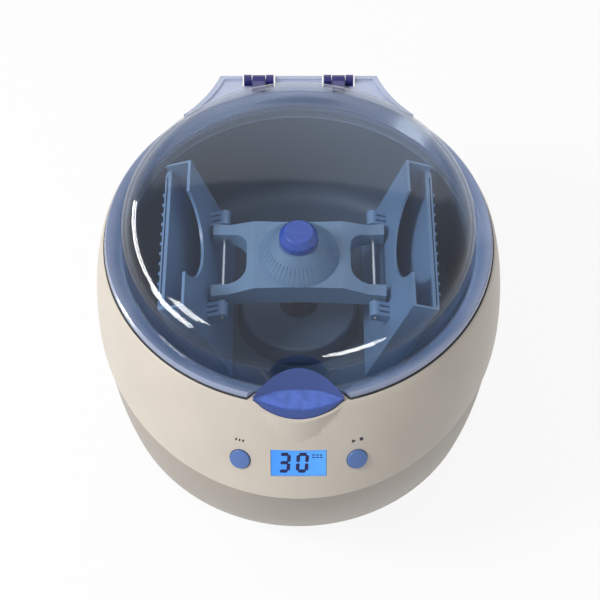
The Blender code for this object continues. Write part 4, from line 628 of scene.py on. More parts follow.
class Form:
    """A body being modelled, in metres from the rotor's axis."""

    WORN: ClassVar[str] = "worn"

    def __init__(self) -> None:
        """Start with nothing."""
        self.work = bmesh.new()

    @classmethod
    def turned(cls, profile: Sequence[Pair], ring: bool = True, steps: int = FINE_STEPS) -> Form:
        """Turn a profile of radius and height about the axis.

        Args:
            profile: points, closed into a ring or ending on the axis.
            ring: whether the last point joins the first.
            steps: faces round the axis.

        Returns:
            The turned body.
        """
        form = cls()
        half_step = math.pi / steps
        points = [form.work.verts.new((radius * math.cos(half_step), radius * math.sin(half_step), height))
                  for radius, height in profile]
        edges = [form.work.edges.new(pair) for pair in zip(points, points[1:])]
        if ring:
            edges.append(form.work.edges.new((points[-1], points[0])))
        bmesh.ops.spin(form.work, geom=points + edges, cent=(0, 0, 0), axis=(0, 0, 1), dvec=(0, 0, 0),
                       angle=2 * math.pi, steps=steps, use_merge=True, use_duplicate=False)
        bmesh.ops.remove_doubles(form.work, verts=form.work.verts, dist=MERGE)
        return form.outward()

    @classmethod
    def prism(cls, outline: Sequence[Pair], *rings: float) -> Form:
        """Raise a flat outline through two or more heights, from the lowest up.

        Args:
            outline: corners in plan.
            rings: the heights.

        Returns:
            The raised body.
        """
        form = cls()
        points = [form.work.verts.new((x, y, rings[0])) for x, y in outline]
        edges = [form.work.edges.new((point, points[number - 1])) for number, point in enumerate(points)]
        faces = bmesh.ops.contextual_create(form.work, geom=edges)["faces"]
        for low, high in zip(rings, rings[1:]):
            raised = bmesh.ops.extrude_face_region(form.work, geom=faces, use_keep_orig=True)["geom"]
            tops = [item for item in raised if isinstance(item, bmesh.types.BMVert)]
            bmesh.ops.translate(form.work, vec=(0, 0, high - low), verts=tops)
            if low != rings[0]:
                bmesh.ops.delete(form.work, geom=faces, context="FACES_ONLY")
            faces = [item for item in raised if isinstance(item, bmesh.types.BMFace)]
        return form.outward()

    @classmethod
    def block(cls, size: Sequence[float], centre: Sequence[float]) -> Form:
        """Make a box of a size about a centre.

        Args:
            size: length along each axis.
            centre: its middle.

        Returns:
            The box.
        """
        form = cls()
        bmesh.ops.create_cube(form.work, size=1.0)
        bmesh.ops.scale(form.work, vec=size, verts=form.work.verts)
        return form.placed(Matrix.Translation(centre))

    @classmethod
    def rod(cls, radius: float, start: Sequence[float], end: Sequence[float],
            steps: int = ROUND_STEPS) -> Form:
        """Make a round rod between two points.

        Args:
            radius: radius of the rod.
            start: middle of one end.
            end: middle of the other end.
            steps: faces round it.

        Returns:
            The rod.
        """
        first = Vector(start)
        last = Vector(end)
        form = cls()
        bmesh.ops.create_cone(form.work, cap_ends=True, segments=steps, radius1=radius, radius2=radius,
                              depth=(last - first).length)
        turn = (last - first).to_track_quat("Z", "Y").to_matrix().to_4x4()
        return form.placed(Matrix.Translation((first + last) / 2) @ turn)

    @classmethod
    def copied(cls, node: str) -> Form:
        """Copy a node of the frame, with its facets merged.

        Args:
            node: name of the node.

        Returns:
            The copy.
        """
        form = cls()
        form.work.from_mesh(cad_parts[node].data)
        bmesh.ops.remove_doubles(form.work, verts=form.work.verts, dist=MERGE)
        bmesh.ops.dissolve_limit(form.work, angle_limit=math.radians(1), verts=form.work.verts,
                                 edges=form.work.edges)
        return form.placed(Matrix.Translation(-AXIS)).outward()

    def outward(self) -> Form:
        """Turn every face outward."""
        bmesh.ops.recalc_face_normals(self.work, faces=self.work.faces)
        return self

    def placed(self, matrix: Matrix) -> Form:
        """Move the body."""
        bmesh.ops.transform(self.work, matrix=matrix, verts=self.work.verts)
        return self

    def moved(self, change: Callable[[Vector], Vector]) -> Form:
        """Move each point by a rule.

        Args:
            change: gives a point's new place.

        Returns:
            This body.
        """
        for vertex in self.work.verts:
            vertex.co = change(vertex.co)
        return self

    def with_forms(self, *others: Form) -> Form:
        """Add other bodies to this one as they are.

        Args:
            others: bodies that are used up.

        Returns:
            This body.
        """
        for other in others:
            mesh = other.mesh("added")
            self.work.from_mesh(mesh)
            bpy.data.meshes.remove(mesh)
        return self

    def mesh(self, name: str) -> bpy.types.Mesh:
        """Write the body to a new mesh and let go of it.

        Args:
            name: name of the mesh.

        Returns:
            The mesh.
        """
        made = bpy.data.meshes.new(name)
        self.work.to_mesh(made)
        self.work.free()
        return made

    def combined(self, operation: Join, *others: Form) -> Form:
        """Combine this body with others by one operation each.

        Args:
            operation: how they are combined.
            others: bodies that are used up.

        Returns:
            This body.
        """
        for other in others:
            pair = [bpy.data.objects.new("tool", form.mesh("tool")) for form in (self, other)]
            for item in pair:
                bpy.context.scene.collection.objects.link(item)
            step = pair[0].modifiers.new("step", "BOOLEAN")
            step.operation = operation.value
            step.solver = "MANIFOLD"
            step.object = pair[1]
            graph = bpy.context.evaluated_depsgraph_get()
            result = bpy.data.meshes.new_from_object(pair[0].evaluated_get(graph))
            self.work = bmesh.new()
            self.work.from_mesh(result)
            bpy.data.meshes.remove(result)
            for item in pair:
                mesh = item.data
                bpy.data.objects.remove(item)
                bpy.data.meshes.remove(mesh)
        return self

    def rounded(self, width: float, angle: float = 35.0,
                keep: Callable[[Vector], bool] | None = None) -> Form:
        """Round the sharp edges and mark them for the lighter edge colour, which stands for wear and paints
        highlights.

        Args:
            width: width of the rounding.
            angle: least angle in degrees between the faces of an edge.
            keep: rule that says which edges, by their middle, are rounded.

        Returns:
            This body.
        """
        sharp = []
        for edge in self.work.edges:
            turn = edge.calc_face_angle(0.0)
            middle = (edge.verts[0].co + edge.verts[1].co) / 2
            if turn > math.radians(angle) and (keep is None or keep(middle)):
                sharp.append(edge)
        made = bmesh.ops.bevel(self.work, geom=sharp, offset=width, offset_type="OFFSET", segments=3,
                               profile=0.5, affect="EDGES", clamp_overlap=True, material=-1)
        fresh = set(made["faces"])
        layer = self.work.verts.layers.float.new(self.WORN)
        for vertex in self.work.verts:
            if vertex.link_faces and all(face in fresh for face in vertex.link_faces):
                vertex[layer] = 1.0
        return self

    def wear_and_highlight(self, wear: Callable[[Vector], float]) -> Form:
        """Mark points of a rounded body for the lighter edge colour by a rule, as painted highlights.

        Args:
            wear: gives how much a point is painted lighter as a highlight, 0 to 1.

        Returns:
            This body.
        """
        layer = self.work.verts.layers.float[self.WORN]
        for vertex in self.work.verts:
            vertex[layer] = max(vertex[layer], wear(vertex.co))
        return self

    def piece(self, name: str, body: Body, look: Palette, replaces: Sequence[str] = (),
              crisp: float = 35.0) -> bpy.types.Object:
        """Finish the body as a piece of the object.

        Args:
            name: name of the piece.
            body: what it rides on.
            look: its finish.
            replaces: nodes that it stands for.
            crisp: angle in degrees beyond which an edge is shaded crisp.

        Returns:
            The finished object.
        """
        mesh = self.placed(Matrix.Translation(AXIS)).mesh(name)
        mesh.shade_smooth()
        mesh.set_sharp_from_angle(angle=math.radians(crisp))
        mesh.materials.clear()
        mesh.materials.append(look.value.material())
        item = bpy.data.objects.new(name, mesh)
        bpy.context.scene.collection.objects.link(item)
        even = item.modifiers.new("even_shading", "WEIGHTED_NORMAL")
        even.keep_sharp = True
        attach(item, body.value)
        if replaces:
            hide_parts(*replaces)
        LOG.info("%s: %d faces on %s", name, len(mesh.polygons), body.value)
        return item


def dress(look: Palette, *nodes: str) -> None:
    """Give nodes of the frame that stay as they are a finish.

    Args:
        look: the finish.
        nodes: names of the nodes.
    """
    for node in nodes:
        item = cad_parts[node]
        item.data.materials.clear()
        item.data.materials.append(look.value.material())
        LOG.info("%s: kept, in %s", node, look.value.name)


def refine(node: str, body: Body, look: Palette, width: float, angle: float = 35.0) -> bpy.types.Object:
    """Replace a node by its own form with rounded edges, marked lighter as wear and as painted highlights.
    """
    return Form.copied(node).rounded(width, angle).piece(node + "_moulded", body, look, (node,), 50.0)


# Form of the casing
@dataclass(frozen=True)
class Envelope:
    """The casing's curved wall, which the shells, the latch and the panel follow."""

    rim_radius: float = 143.5 * MM
    belly_radius: float = 152 * MM
    rim_height: float = 190 * MM
    belly_height: float = 129 * MM
    foot_height: float = 8 * MM
    fillet: float = 6 * MM
    front_bulge: float = 30 * MM
    lip_round: float = 1.6 * MM
    wall: float = 3 * MM
    rim_inner_radius: float = 138.8 * MM
    base_top_radius: float = 149.8 * MM
    base_edge_radius: float = 143.5 * MM
    panel_z: float = 155 * MM
    key_x: float = 40.5 * MM
    key_z: float = 153 * MM

    def side_radius(self, height: float) -> float:
        """Give the upper casing's side radius at a height."""
        share = (height - self.belly_height) / (self.rim_height - self.belly_height)
        return self.rim_radius + (self.belly_radius - self.rim_radius) * (1 - share * share)

    def base_radius(self, height: float) -> float:
        """Give the lower casing's side radius at a height.

        Args:
            height: height on the wall.

        Returns:
            The radius there.
        """
        low = self.foot_height + self.fillet
        growth = math.sin(math.pi / 2 * (height - low) / (self.belly_height - low))
        return self.base_edge_radius + (self.base_top_radius - self.base_edge_radius) * growth

    def stretch(self, height: float) -> float:
        """Say how far the front half is drawn forward at a height.

        Args:
            height: height on the wall.

        Returns:
            The factor on the distance forward of the axis.
        """
        most = self.front_bulge / self.belly_radius
        if height <= self.foot_height or height >= self.rim_height:
            return 1.0
        if height <= self.belly_height:
            share = (height - self.foot_height) / (self.belly_height - self.foot_height)
            return 1.0 + most * math.sin(math.pi / 2 * share)
        fullest = self.belly_height + self.lip_round
        return 1.0 + most * min(1.0, (self.rim_height - height) / (self.rim_height - fullest))

    def drawn_forward(self, kept_radius: float = 0.0) -> Callable[[Vector], Vector]:
        """Give the rule that draws the front half of a turned shell forward.

        Args:
            kept_radius: radius within which points stay.

        Returns:
            A rule for Form.moved.
        """
        def change(point: Vector) -> Vector:
            """Draw one point forward.

            Args:
                point: a point of the shell.

            Returns:
                Its new place.
            """
            if point.y < 0 and point.xy.length > kept_radius:
                return Vector((point.x, point.y * self.stretch(point.z), point.z))
            return point
        return change

    def front_point(self, x: float, height: float) -> Vector:
        """Give the point of the front at a place across and a height."""
        radius = self.side_radius(height)
        return Vector((x, -radius * self.stretch(height) * math.sqrt(1 - (x / radius) ** 2), height))

    def front_turn(self, x: float, height: float) -> Matrix:
        """Give the turn that lays X across the front, Y up its slope and Z outward.

        Args:
            x: place across the front.
            height: height on the front.

        Returns:
            The turn.
        """
        across = self.front_point(x + MM, height) - self.front_point(x - MM, height)
        upward = self.front_point(x, height + MM) - self.front_point(x, height - MM)
        outward = across.cross(upward).normalized()
        side = Vector((0, 0, 1)).cross(outward).normalized()
        return Matrix((side, outward.cross(side), outward)).transposed()

    def on_front(self, x: float, height: float, out: float = 0.0) -> Matrix:
        """Give the place of something that sits on the front, so far out from its skin."""
        place = Matrix.Translation(self.front_point(x, height)) @ self.front_turn(x, height).to_4x4()
        return place @ Matrix.Translation((0, 0, out))


@dataclass(frozen=True)
class LatchForm:
    """The latch's pointed oval and its seat-shaped top, which the pod and the lid follow."""

    half_length: float = 31 * MM
    front: float = 150.5 * MM
    rear: float = 125.2 * MM
    ridge_y: float = 130.5 * MM
    ridge_z: float = 197 * MM
    top: float = 212.5 * MM
    front_z: float = 187.5 * MM
    crown: float = 2.2 * MM
    floor: float = 182 * MM
    shelf: float = 2.5 * MM
    travel: float = 3 * MM
    stem: Triple = (16 * MM, 6 * MM, 19 * MM)
    stem_y: float = 145 * MM
    pod_wall: float = 1.6 * MM
    curve_steps: int = 20

    def outline(self, clearance: float = 0.0) -> list[Pair]:
        """List the pointed oval in plan, grown by a clearance.

        Args:
            clearance: how far the outline stands off the latch.

        Returns:
            Corners in plan.
        """
        middle = -(self.rear + self.front) / 2
        depth = (self.front - self.rear) / 2 + clearance
        right = (self.half_length + clearance * 2, middle)
        left = (-right[0], middle)
        ahead = bow(right, left, depth, self.curve_steps)
        return ahead[:-1] + bow(left, right, depth, self.curve_steps)[:-1]

    def above_top(self, shift: float) -> Form:
        """Make the body above the seat-shaped top, moved up by a shift.

        Args:
            shift: way up from the latch's own top.

        Returns:
            The body above it.
        """
        rear = -self.rear + REACH
        ridge = (-self.ridge_y, self.ridge_z + shift)
        front = (-self.front, self.front_z + shift)
        beyond = -self.front - 2 * REACH
        above = self.top + 2 * REACH
        back_height = self.top + shift + 2 * FIT
        outline = [(rear, above), (rear, back_height)]
        outline += bow((-self.rear - MM, back_height), ridge, self.crown / 2, 8)
        outline += bow(ridge, front, -self.crown, 14)[1:]
        outline += [(beyond, self.front_z + shift - REACH), (beyond, above)]
        return Form.prism(outline, -2 * self.half_length, 2 * self.half_length).placed(UPRIGHT)


ENVELOPE = Envelope()
LATCH = LatchForm()


@dataclass(frozen=True)
class Casing:
    """The two shells, the feet and the screws under them."""

    opening_radius: float = 110 * MM
    tongue_radius: float = 147.8 * MM
    tongue_height: float = 4 * MM
    ledge_reach: float = 3.2 * MM
    ledge_top: float = 184.2 * MM
    rim_round: float = 1.6 * MM
    window: Pair = (38.6 * MM, 20.8 * MM)
    key_hole_radius: float = 7.65 * MM
    board_depth: float = 16 * MM
    standoff: Pair = (32 * MM, 10.5 * MM)
    standoff_radius: float = 3 * MM
    panel_half: Pair = (52 * MM, 22 * MM)
    edge_round: float = 0.4 * MM
    rear_face_y: float = 137.5 * MM
    rear_half_width: float = 40 * MM
    rear_height: float = 36 * MM
    rear_z: float = 48 * MM
    rear_margin: float = 4 * MM
    rear_well: float = 12 * MM
    cut_depth: float = 24 * MM
    inlet: Triple = (-12 * MM, 27 * MM, 19.6 * MM)
    switch: Triple = (21 * MM, 12.9 * MM, 19 * MM)
    screw_circle: float = 116.5 * MM
    screw_angle: float = 20.0
    screw_hole_radius: float = 2.4 * MM
    pod_depth: float = 14 * MM
    pod_front_drop: float = 1.5 * MM
    pod_top_drop: float = 1.2 * MM
    pod_widening: float = 1.08
    pod_swell: float = 1.45
    pod_back_y: float = 139 * MM
    pod_back_z: float = 192 * MM

    def housing_profile(self) -> list[Pair]:
        """List the upper casing's wall, with the ledge that carries the bowl.

        Returns:
            Radius and height of each point.
        """
        skin = ENVELOPE
        edge = skin.belly_height + skin.lip_round
        ledge_radius = skin.rim_inner_radius - self.ledge_reach
        shoulder = (skin.rim_radius - self.rim_round, skin.rim_height - self.rim_round)
        profile = [(skin.rim_inner_radius, skin.rim_height)]
        profile += arc(shoulder, self.rim_round, 90, 15, 6)
        profile += [(skin.side_radius(height), height)
                    for height in levels(skin.rim_height - 2 * self.rim_round, edge, 26)]
        profile += arc((skin.belly_radius - skin.lip_round, edge), skin.lip_round, -20, -90, 5)
        profile += [(skin.side_radius(height) - skin.wall, height)
                    for height in reversed(levels(self.ledge_top - 2 * skin.wall, skin.belly_height, 10))]
        under = self.ledge_top - skin.wall
        return profile + [(skin.side_radius(under) - skin.wall, under), (ledge_radius, under),
                          (ledge_radius, self.ledge_top), (skin.rim_inner_radius, self.ledge_top)]

    def base_profile(self) -> list[Pair]:
        """List the lower casing's wall, from its tongue down to the opening and back.

        Returns:
            Radius and height of each point.
        """
        skin = ENVELOPE
        top = skin.belly_height - FIT
        tongue_top = skin.belly_height + self.tongue_height
        profile = [(self.tongue_radius - skin.wall, tongue_top), (self.tongue_radius, tongue_top),
                   (self.tongue_radius, top)]
        profile += [(skin.base_radius(height), height)
                    for height in levels(top, skin.foot_height + skin.fillet, 24)]
        corner = (skin.base_edge_radius - skin.fillet, skin.foot_height + skin.fillet)
        profile += arc(corner, skin.fillet, -12, -90, 7)
        floor_top = skin.foot_height + skin.wall
        profile += [(self.opening_radius, skin.foot_height), (self.opening_radius, floor_top)]
        return profile + [(skin.base_radius(height) - skin.wall, height)
                          for height in reversed(levels(skin.belly_height - 2 * skin.wall, floor_top, 12))]

    def pod(self) -> Form:
        """Make the pod that the latch sits in.

        Returns:
            The pod, open below its shelf.
        """
        shelf_bottom = LATCH.floor - LATCH.shelf
        bottom = LATCH.floor - self.pod_depth
        shelf_y = ENVELOPE.rim_inner_radius + 2 * FIT
        width = 4 * LATCH.half_length
        room = Form.block((width, shelf_y, 2 * (shelf_bottom - bottom)), (0, -shelf_y / 2, bottom))
        middle = -(LATCH.rear + LATCH.front) / 2

        def swell(point: Vector) -> Vector:
            """Draw the foot of the pod's front forward, so that it runs into the casing.

            Args:
                point: a point of the pod.

            Returns:
                Its new place.
            """
            if point.z < shelf_bottom and point.y < middle:
                ahead = middle + (point.y - middle) * self.pod_swell
                return Vector((point.x * self.pod_widening, ahead, point.z))
            return point

        outline = LATCH.outline(LATCH.pod_wall + FIT)
        body = Form.prism(outline, bottom, LATCH.front_z - self.pod_front_drop, LATCH.top).moved(swell)
        half = 5 * REACH
        behind_place = (0, half - self.pod_back_y, self.pod_back_z + half)
        behind = Form.block((width, 2 * half, 2 * half), behind_place)
        return body.combined(Join.DIFFERENCE, room, LATCH.above_top(-self.pod_top_drop), behind)

    def build_upper(self) -> None:
        """Make the upper casing, with its pod, window, key holes and board standoffs."""
        shell = Form.turned(self.housing_profile()).moved(
            ENVELOPE.drawn_forward(ENVELOPE.rim_inner_radius + FIT))
        shell.combined(Join.UNION, self.pod())
        pocket = Form.prism(LATCH.outline(FIT), LATCH.floor, LATCH.top + REACH)
        stem_hole = Form.block((LATCH.stem[0] + 4 * FIT, LATCH.stem[1] + 4 * FIT, 8 * REACH),
                               (0, -LATCH.stem_y, LATCH.floor))
        panel = ENVELOPE.on_front(0, ENVELOPE.panel_z)
        window = Form.block((*self.window, 4 * REACH), (0, 0, 0)).placed(panel)
        shell.combined(Join.DIFFERENCE, pocket, stem_hole, window)
        for side in (-1, 1):
            hole = Form.rod(self.key_hole_radius, (0, 0, -REACH), (0, 0, REACH), HOLE_STEPS)
            place = ENVELOPE.on_front(side * ENVELOPE.key_x, ENVELOPE.key_z)
            shell.combined(Join.DIFFERENCE, hole.placed(place))
        skin = panel.inverted() @ ENVELOPE.front_point(self.standoff[0], ENVELOPE.panel_z)
        for x_side in (-1, 1):
            for y_side in (-1, 1):
                foot = (x_side * self.standoff[0], y_side * self.standoff[1], FIT - self.board_depth)
                head = (foot[0], foot[1], skin.z - ENVELOPE.wall / 2)
                standoff = Form.rod(self.standoff_radius, foot, head, PIN_STEPS)
                shell.combined(Join.UNION, standoff.placed(panel))
        front = ENVELOPE.rim_inner_radius
        lowest = ENVELOPE.panel_z - self.panel_half[1]

        def on_show(middle: Vector) -> bool:
            """Say whether an edge is on the outside of the front."""
            return middle.y < -front and middle.z > lowest and abs(middle.x) < self.panel_half[0]

        shell.rounded(self.edge_round, 40.0, on_show)
        shell.piece("upper_casing", Body.CASING, Palette.CASING, ("upper_housing",), 32.0)

    def build_lower(self) -> None:
        """Make the lower casing, with the rear panel's well and its two openings."""
        shell = Form.turned(self.base_profile()).moved(ENVELOPE.drawn_forward())
        depth = ENVELOPE.belly_radius - self.rear_face_y + ENVELOPE.wall
        backing = Form.block((2 * (self.rear_half_width + self.rear_margin), depth,
                              self.rear_height + 2 * self.rear_margin),
                             (0, self.rear_face_y - ENVELOPE.wall + depth / 2, self.rear_z))
        low = ENVELOPE.foot_height + ENVELOPE.fillet
        bounds = [(0, ENVELOPE.belly_height)]
        bounds += [(ENVELOPE.base_radius(height) - ENVELOPE.wall / 2, height)
                   for height in levels(ENVELOPE.belly_height, low, 12)]
        backing.combined(Join.INTERSECT, Form.turned(bounds + [(0, low)], ring=False))
        shell.combined(Join.UNION, backing)
        well = Form.block((2 * self.rear_half_width, self.rear_well, self.rear_height),
                          (0, self.rear_face_y + self.rear_well / 2, self.rear_z))
        shell.combined(Join.DIFFERENCE, well)
        for x, width, height in (self.inlet, self.switch):
            opening = Form.block((width, self.cut_depth, height), (x, self.rear_face_y, self.rear_z))
            shell.combined(Join.DIFFERENCE, opening)
        for number in range(4):
            angle = math.radians(self.screw_angle + 90 * number)
            spot = (self.screw_circle * math.cos(angle), self.screw_circle * math.sin(angle))
            hole = Form.rod(self.screw_hole_radius, (*spot, ENVELOPE.foot_height - REACH),
                            (*spot, ENVELOPE.foot_height + REACH), PIN_STEPS)
            shell.combined(Join.DIFFERENCE, hole)
        shell.piece("lower_casing", Body.CASING, Palette.SHADED_BASE, ("base_shell",), 32.0)

    def build(self) -> None:
        """Build the shells and dress what closes them underneath."""
        self.build_upper()
        self.build_lower()
        for number in range(1, 5):
            refine(f"foot_{number}", Body.CASING, Palette.RUBBER, 0.8 * MM)
            refine(f"case_screw_{number}", Body.CASING, Palette.STEEL, 0.4 * MM)
        dress(Palette.SHEET, "chassis_plate")


@dataclass(frozen=True)
class Chamber:
    """The chamber bowl, the lid's seal and the seal round the shaft."""

    lip_radius: float = 128.5 * MM
    flange_radius: float = 138.2 * MM
    flange_width: float = 2.2 * MM
    top: float = 187 * MM
    lip_height: float = 176 * MM
    floor: float = 88 * MM
    floor_radius: float = 110 * MM
    corner: float = 14 * MM
    wall: float = 2.5 * MM
    plinth_radius: float = 47 * MM
    plinth_height: float = 19 * MM
    plinth_draft: float = 2 * MM
    plinth_round: float = 3 * MM
    hole_radius: float = 10 * MM
    lip_inset: Pair = (0.2 * MM, 2 * MM)
    lip_edge: float = 0.7 * MM
    seal_lip: tuple[float, float, float, float] = (139.4 * MM, 142.2 * MM, 189.95 * MM, 191.15 * MM)
    seal_edge: float = 0.4 * MM

    def profile(self) -> list[Pair]:
        """List the bowl's wall: flange, cone, lip, wall, floor and raised plinth.

        Returns:
            Radius and height of each point.
        """
        crest = self.flange_radius - self.flange_width
        centre = (self.floor_radius, self.floor + self.corner)
        plinth_top = self.floor + self.plinth_height
        edge = self.plinth_radius - self.plinth_draft
        under = self.floor - self.wall
        profile = [(crest, self.top), (self.flange_radius, self.top),
                   (self.flange_radius, self.top - self.wall),
                   (crest - self.wall / 3, self.top - self.wall),
                   (self.lip_radius + self.wall, self.lip_height - self.wall / 2)]
        profile += arc(centre, self.corner + self.wall, 0, -90, 10)
        profile += [(self.plinth_radius - self.wall, under), (edge - self.wall, plinth_top - self.wall),
                    (self.hole_radius, plinth_top - self.wall), (self.hole_radius, plinth_top)]
        rounding = (edge - self.plinth_round, plinth_top - self.plinth_round)
        profile += arc(rounding, self.plinth_round, 90, 8, 5)
        profile += [(self.plinth_radius, self.floor + self.plinth_round / 2)]
        profile += arc((self.plinth_radius + self.plinth_round / 2, self.floor + self.plinth_round / 2),
                       self.plinth_round / 2, 200, 270, 3)
        profile += arc(centre, self.corner, -90, 0, 12)
        profile.append((self.lip_radius - self.lip_inset[0], self.lip_height - self.lip_inset[1]))
        return profile + [(self.lip_radius, self.lip_height)]

    def build(self) -> None:
        """Make the bowl and dress the seals."""
        notch_outline = LATCH.outline(LATCH.pod_wall + 3 * FIT)
        notch = Form.prism(notch_outline, LATCH.floor - LATCH.shelf - FIT, self.top + REACH)
        bowl = Form.turned(self.profile()).combined(Join.DIFFERENCE, notch)

        def at_lip(middle: Vector) -> bool:
            """Say whether an edge is on the lip between the wall and the cone."""
            near = abs(middle.xy.length - self.lip_radius) < 2 * self.lip_inset[0]
            return near and middle.z > self.lip_height - FIT / 3

        # The lip's rounding is marked for the lighter edge colour, which paints a highlight line along it.
        bowl.rounded(self.lip_edge, 12.0, at_lip)
        bowl.piece("bowl_lining", Body.CASING, Palette.CHAMBER, ("chamber_bowl",), 28.0)
        inner, outer, low, high = self.seal_lip
        lip = Form.turned([(inner, low), (inner, high), (outer - self.seal_edge, high),
                           (outer, high - self.seal_edge), (outer, low)])
        lip.combined(Join.DIFFERENCE, Form.prism(notch_outline, low - REACH, high + REACH))
        lip.piece("lid_seal_lip", Body.CASING, Palette.RUBBER)
        dress(Palette.RUBBER, "lid_seal", "shaft_seal")


@dataclass(frozen=True)
class ClearLid:
    """The clear lid: dome, sloping brim, latch notch and hinge tab in one piece."""

    radius: float = 141.3 * MM
    crest_radius: float = 139.8 * MM
    foot_radius: float = 129.5 * MM
    wall_radius: float = 128 * MM
    step_radius: float = 134.9 * MM
    edge_bottom: float = 191.4 * MM
    brim_top: float = 196 * MM
    foot_height: float = 188 * MM
    skirt_bottom: float = 183.5 * MM
    crest_height: float = 238 * MM
    shoulder_height: float = 208 * MM
    shoulder_round: float = 22 * MM
    crown: float = 8 * MM
    wall: float = 2.5 * MM
    notch_gap: float = 2.9 * MM
    notch_wall: float = 1.6 * MM
    hinge_y: float = 148 * MM
    hinge_x: float = 31 * MM
    tab_rear: float = 151.6 * MM
    tab_bottom: float = 193.3 * MM
    tab_half_width: float = 61 * MM
    tab_flare: Pair = (27 * MM, 40 * MM)
    gap_width: float = 25.4 * MM
    gap_height: float = 24 * MM
    gap_z: float = 197.5 * MM
    gap_ahead: float = 5.1 * MM
    rib_width: float = 3 * MM
    rib_height: float = 2.2 * MM

    def dome(self, inset: float, bottom: float) -> list[Pair]:
        """List the crown, shoulder and wall, drawn in by an inset, down to a height.

        Args:
            inset: distance inside the outer side.
            bottom: lowest height.

        Returns:
            Radius and height of each point.
        """
        centre = (self.wall_radius - self.shoulder_round, self.shoulder_height)
        shares = [number / 14 for number in range(14)]
        profile = [(centre[0] * share, self.crest_height - inset - self.crown * share * share)
                   for share in shares]
        profile += arc(centre, self.shoulder_round - inset, 90, 0, 16)
        return profile + [(self.wall_radius - inset, bottom)]

    def profile(self) -> list[Pair]:
        """List the lid's wall from its crest down the outer side and back up the inner side.

        Returns:
            Radius and height of each point.
        """
        edge = self.radius - (self.radius - self.crest_radius) / 3
        profile = self.dome(0.0, self.foot_height + self.wall / 2)
        profile += [(self.foot_radius, self.foot_height), (self.crest_radius, self.brim_top),
                    (edge, self.brim_top - self.wall / 3), (self.radius, self.brim_top - self.wall),
                    (self.radius, self.edge_bottom), (self.step_radius, self.edge_bottom),
                    (self.step_radius - FIT, self.skirt_bottom + self.wall),
                    (self.foot_radius, self.skirt_bottom),
                    (self.wall_radius - self.wall, self.skirt_bottom)]
        return profile + self.dome(self.wall, self.skirt_bottom)[-2::-1]

    def tab_side(self, inset: float) -> list[Pair]:
        """List the tab's right side in plan, drawn in by an inset, from rear to front.

        Args:
            inset: distance inside the tab's edge.

        Returns:
            Corners in plan.
        """
        rear = (self.tab_half_width - inset, self.tab_rear - inset)
        front = (self.tab_half_width + self.tab_flare[0] - inset * 1.5,
                 self.tab_rear - self.tab_flare[1] + inset / 2)
        return bow(rear, front, self.rib_width, 12)

    def tab(self) -> tuple[Form, Form]:
        """Make the hinge tab and the raised border on it.

        Returns:
            The tab and its border.
        """
        right = self.tab_side(0)
        left = [(-x, y) for x, y in reversed(right)]
        start = math.degrees(math.atan2(right[-1][1], right[-1][0]))
        plate = left + right + arc((0, 0), self.crest_radius - self.wall / 2, start, 180 - start, 40)
        inner = self.tab_side(self.rib_width)
        border = left + right + inner[::-1] + [(-x, y) for x, y in inner]
        top = self.tab_bottom + self.wall
        return Form.prism(plate, self.tab_bottom, top), Form.prism(border, top - FIT, top + self.rib_height)

    def build(self) -> None:
        """Make the lid in the order block, notch, tab, gaps."""
        lid = Form.turned(self.profile(), ring=False)
        middle = self.wall / 2
        inside = self.dome(middle, self.skirt_bottom + middle) + [(0, self.skirt_bottom + middle)]
        bounds = Form.prism(LATCH.outline(self.notch_gap + self.notch_wall),
                            self.skirt_bottom - 2 * REACH, self.crest_height + 2 * REACH)
        block = Form.turned(inside, ring=False).combined(Join.INTERSECT, bounds)
        lid.combined(Join.UNION, block)
        notch = Form.prism(LATCH.outline(self.notch_gap), self.skirt_bottom - REACH,
                           self.crest_height + REACH)
        lid.combined(Join.DIFFERENCE, notch)
        lid.combined(Join.UNION, *self.tab())
        front = self.hinge_y - self.gap_ahead
        for side in (-1, 1):
            gap = Form.block((self.gap_width, 2 * (self.tab_rear - front), self.gap_height),
                             (side * self.hinge_x, self.tab_rear, self.gap_z))
            lid.combined(Join.DIFFERENCE, gap)
        lid.piece("lid_clear_dome", Body.LID, Palette.LID, ("lid_shell",), 30.0)


class Hinge:
    """The two hinges: block and pin on the casing, arm on the lid."""

    def build(self) -> None:
        """Round and dress each hinge."""
        for side in ("left", "right"):
            refine(f"hinge_block_{side}", Body.CASING, Palette.HINGE, 0.5 * MM)
            refine(f"hinge_arm_{side}", Body.LID, Palette.HINGE, 0.4 * MM)
            refine(f"hinge_pin_{side}", Body.CASING, Palette.STEEL, 0.3 * MM)


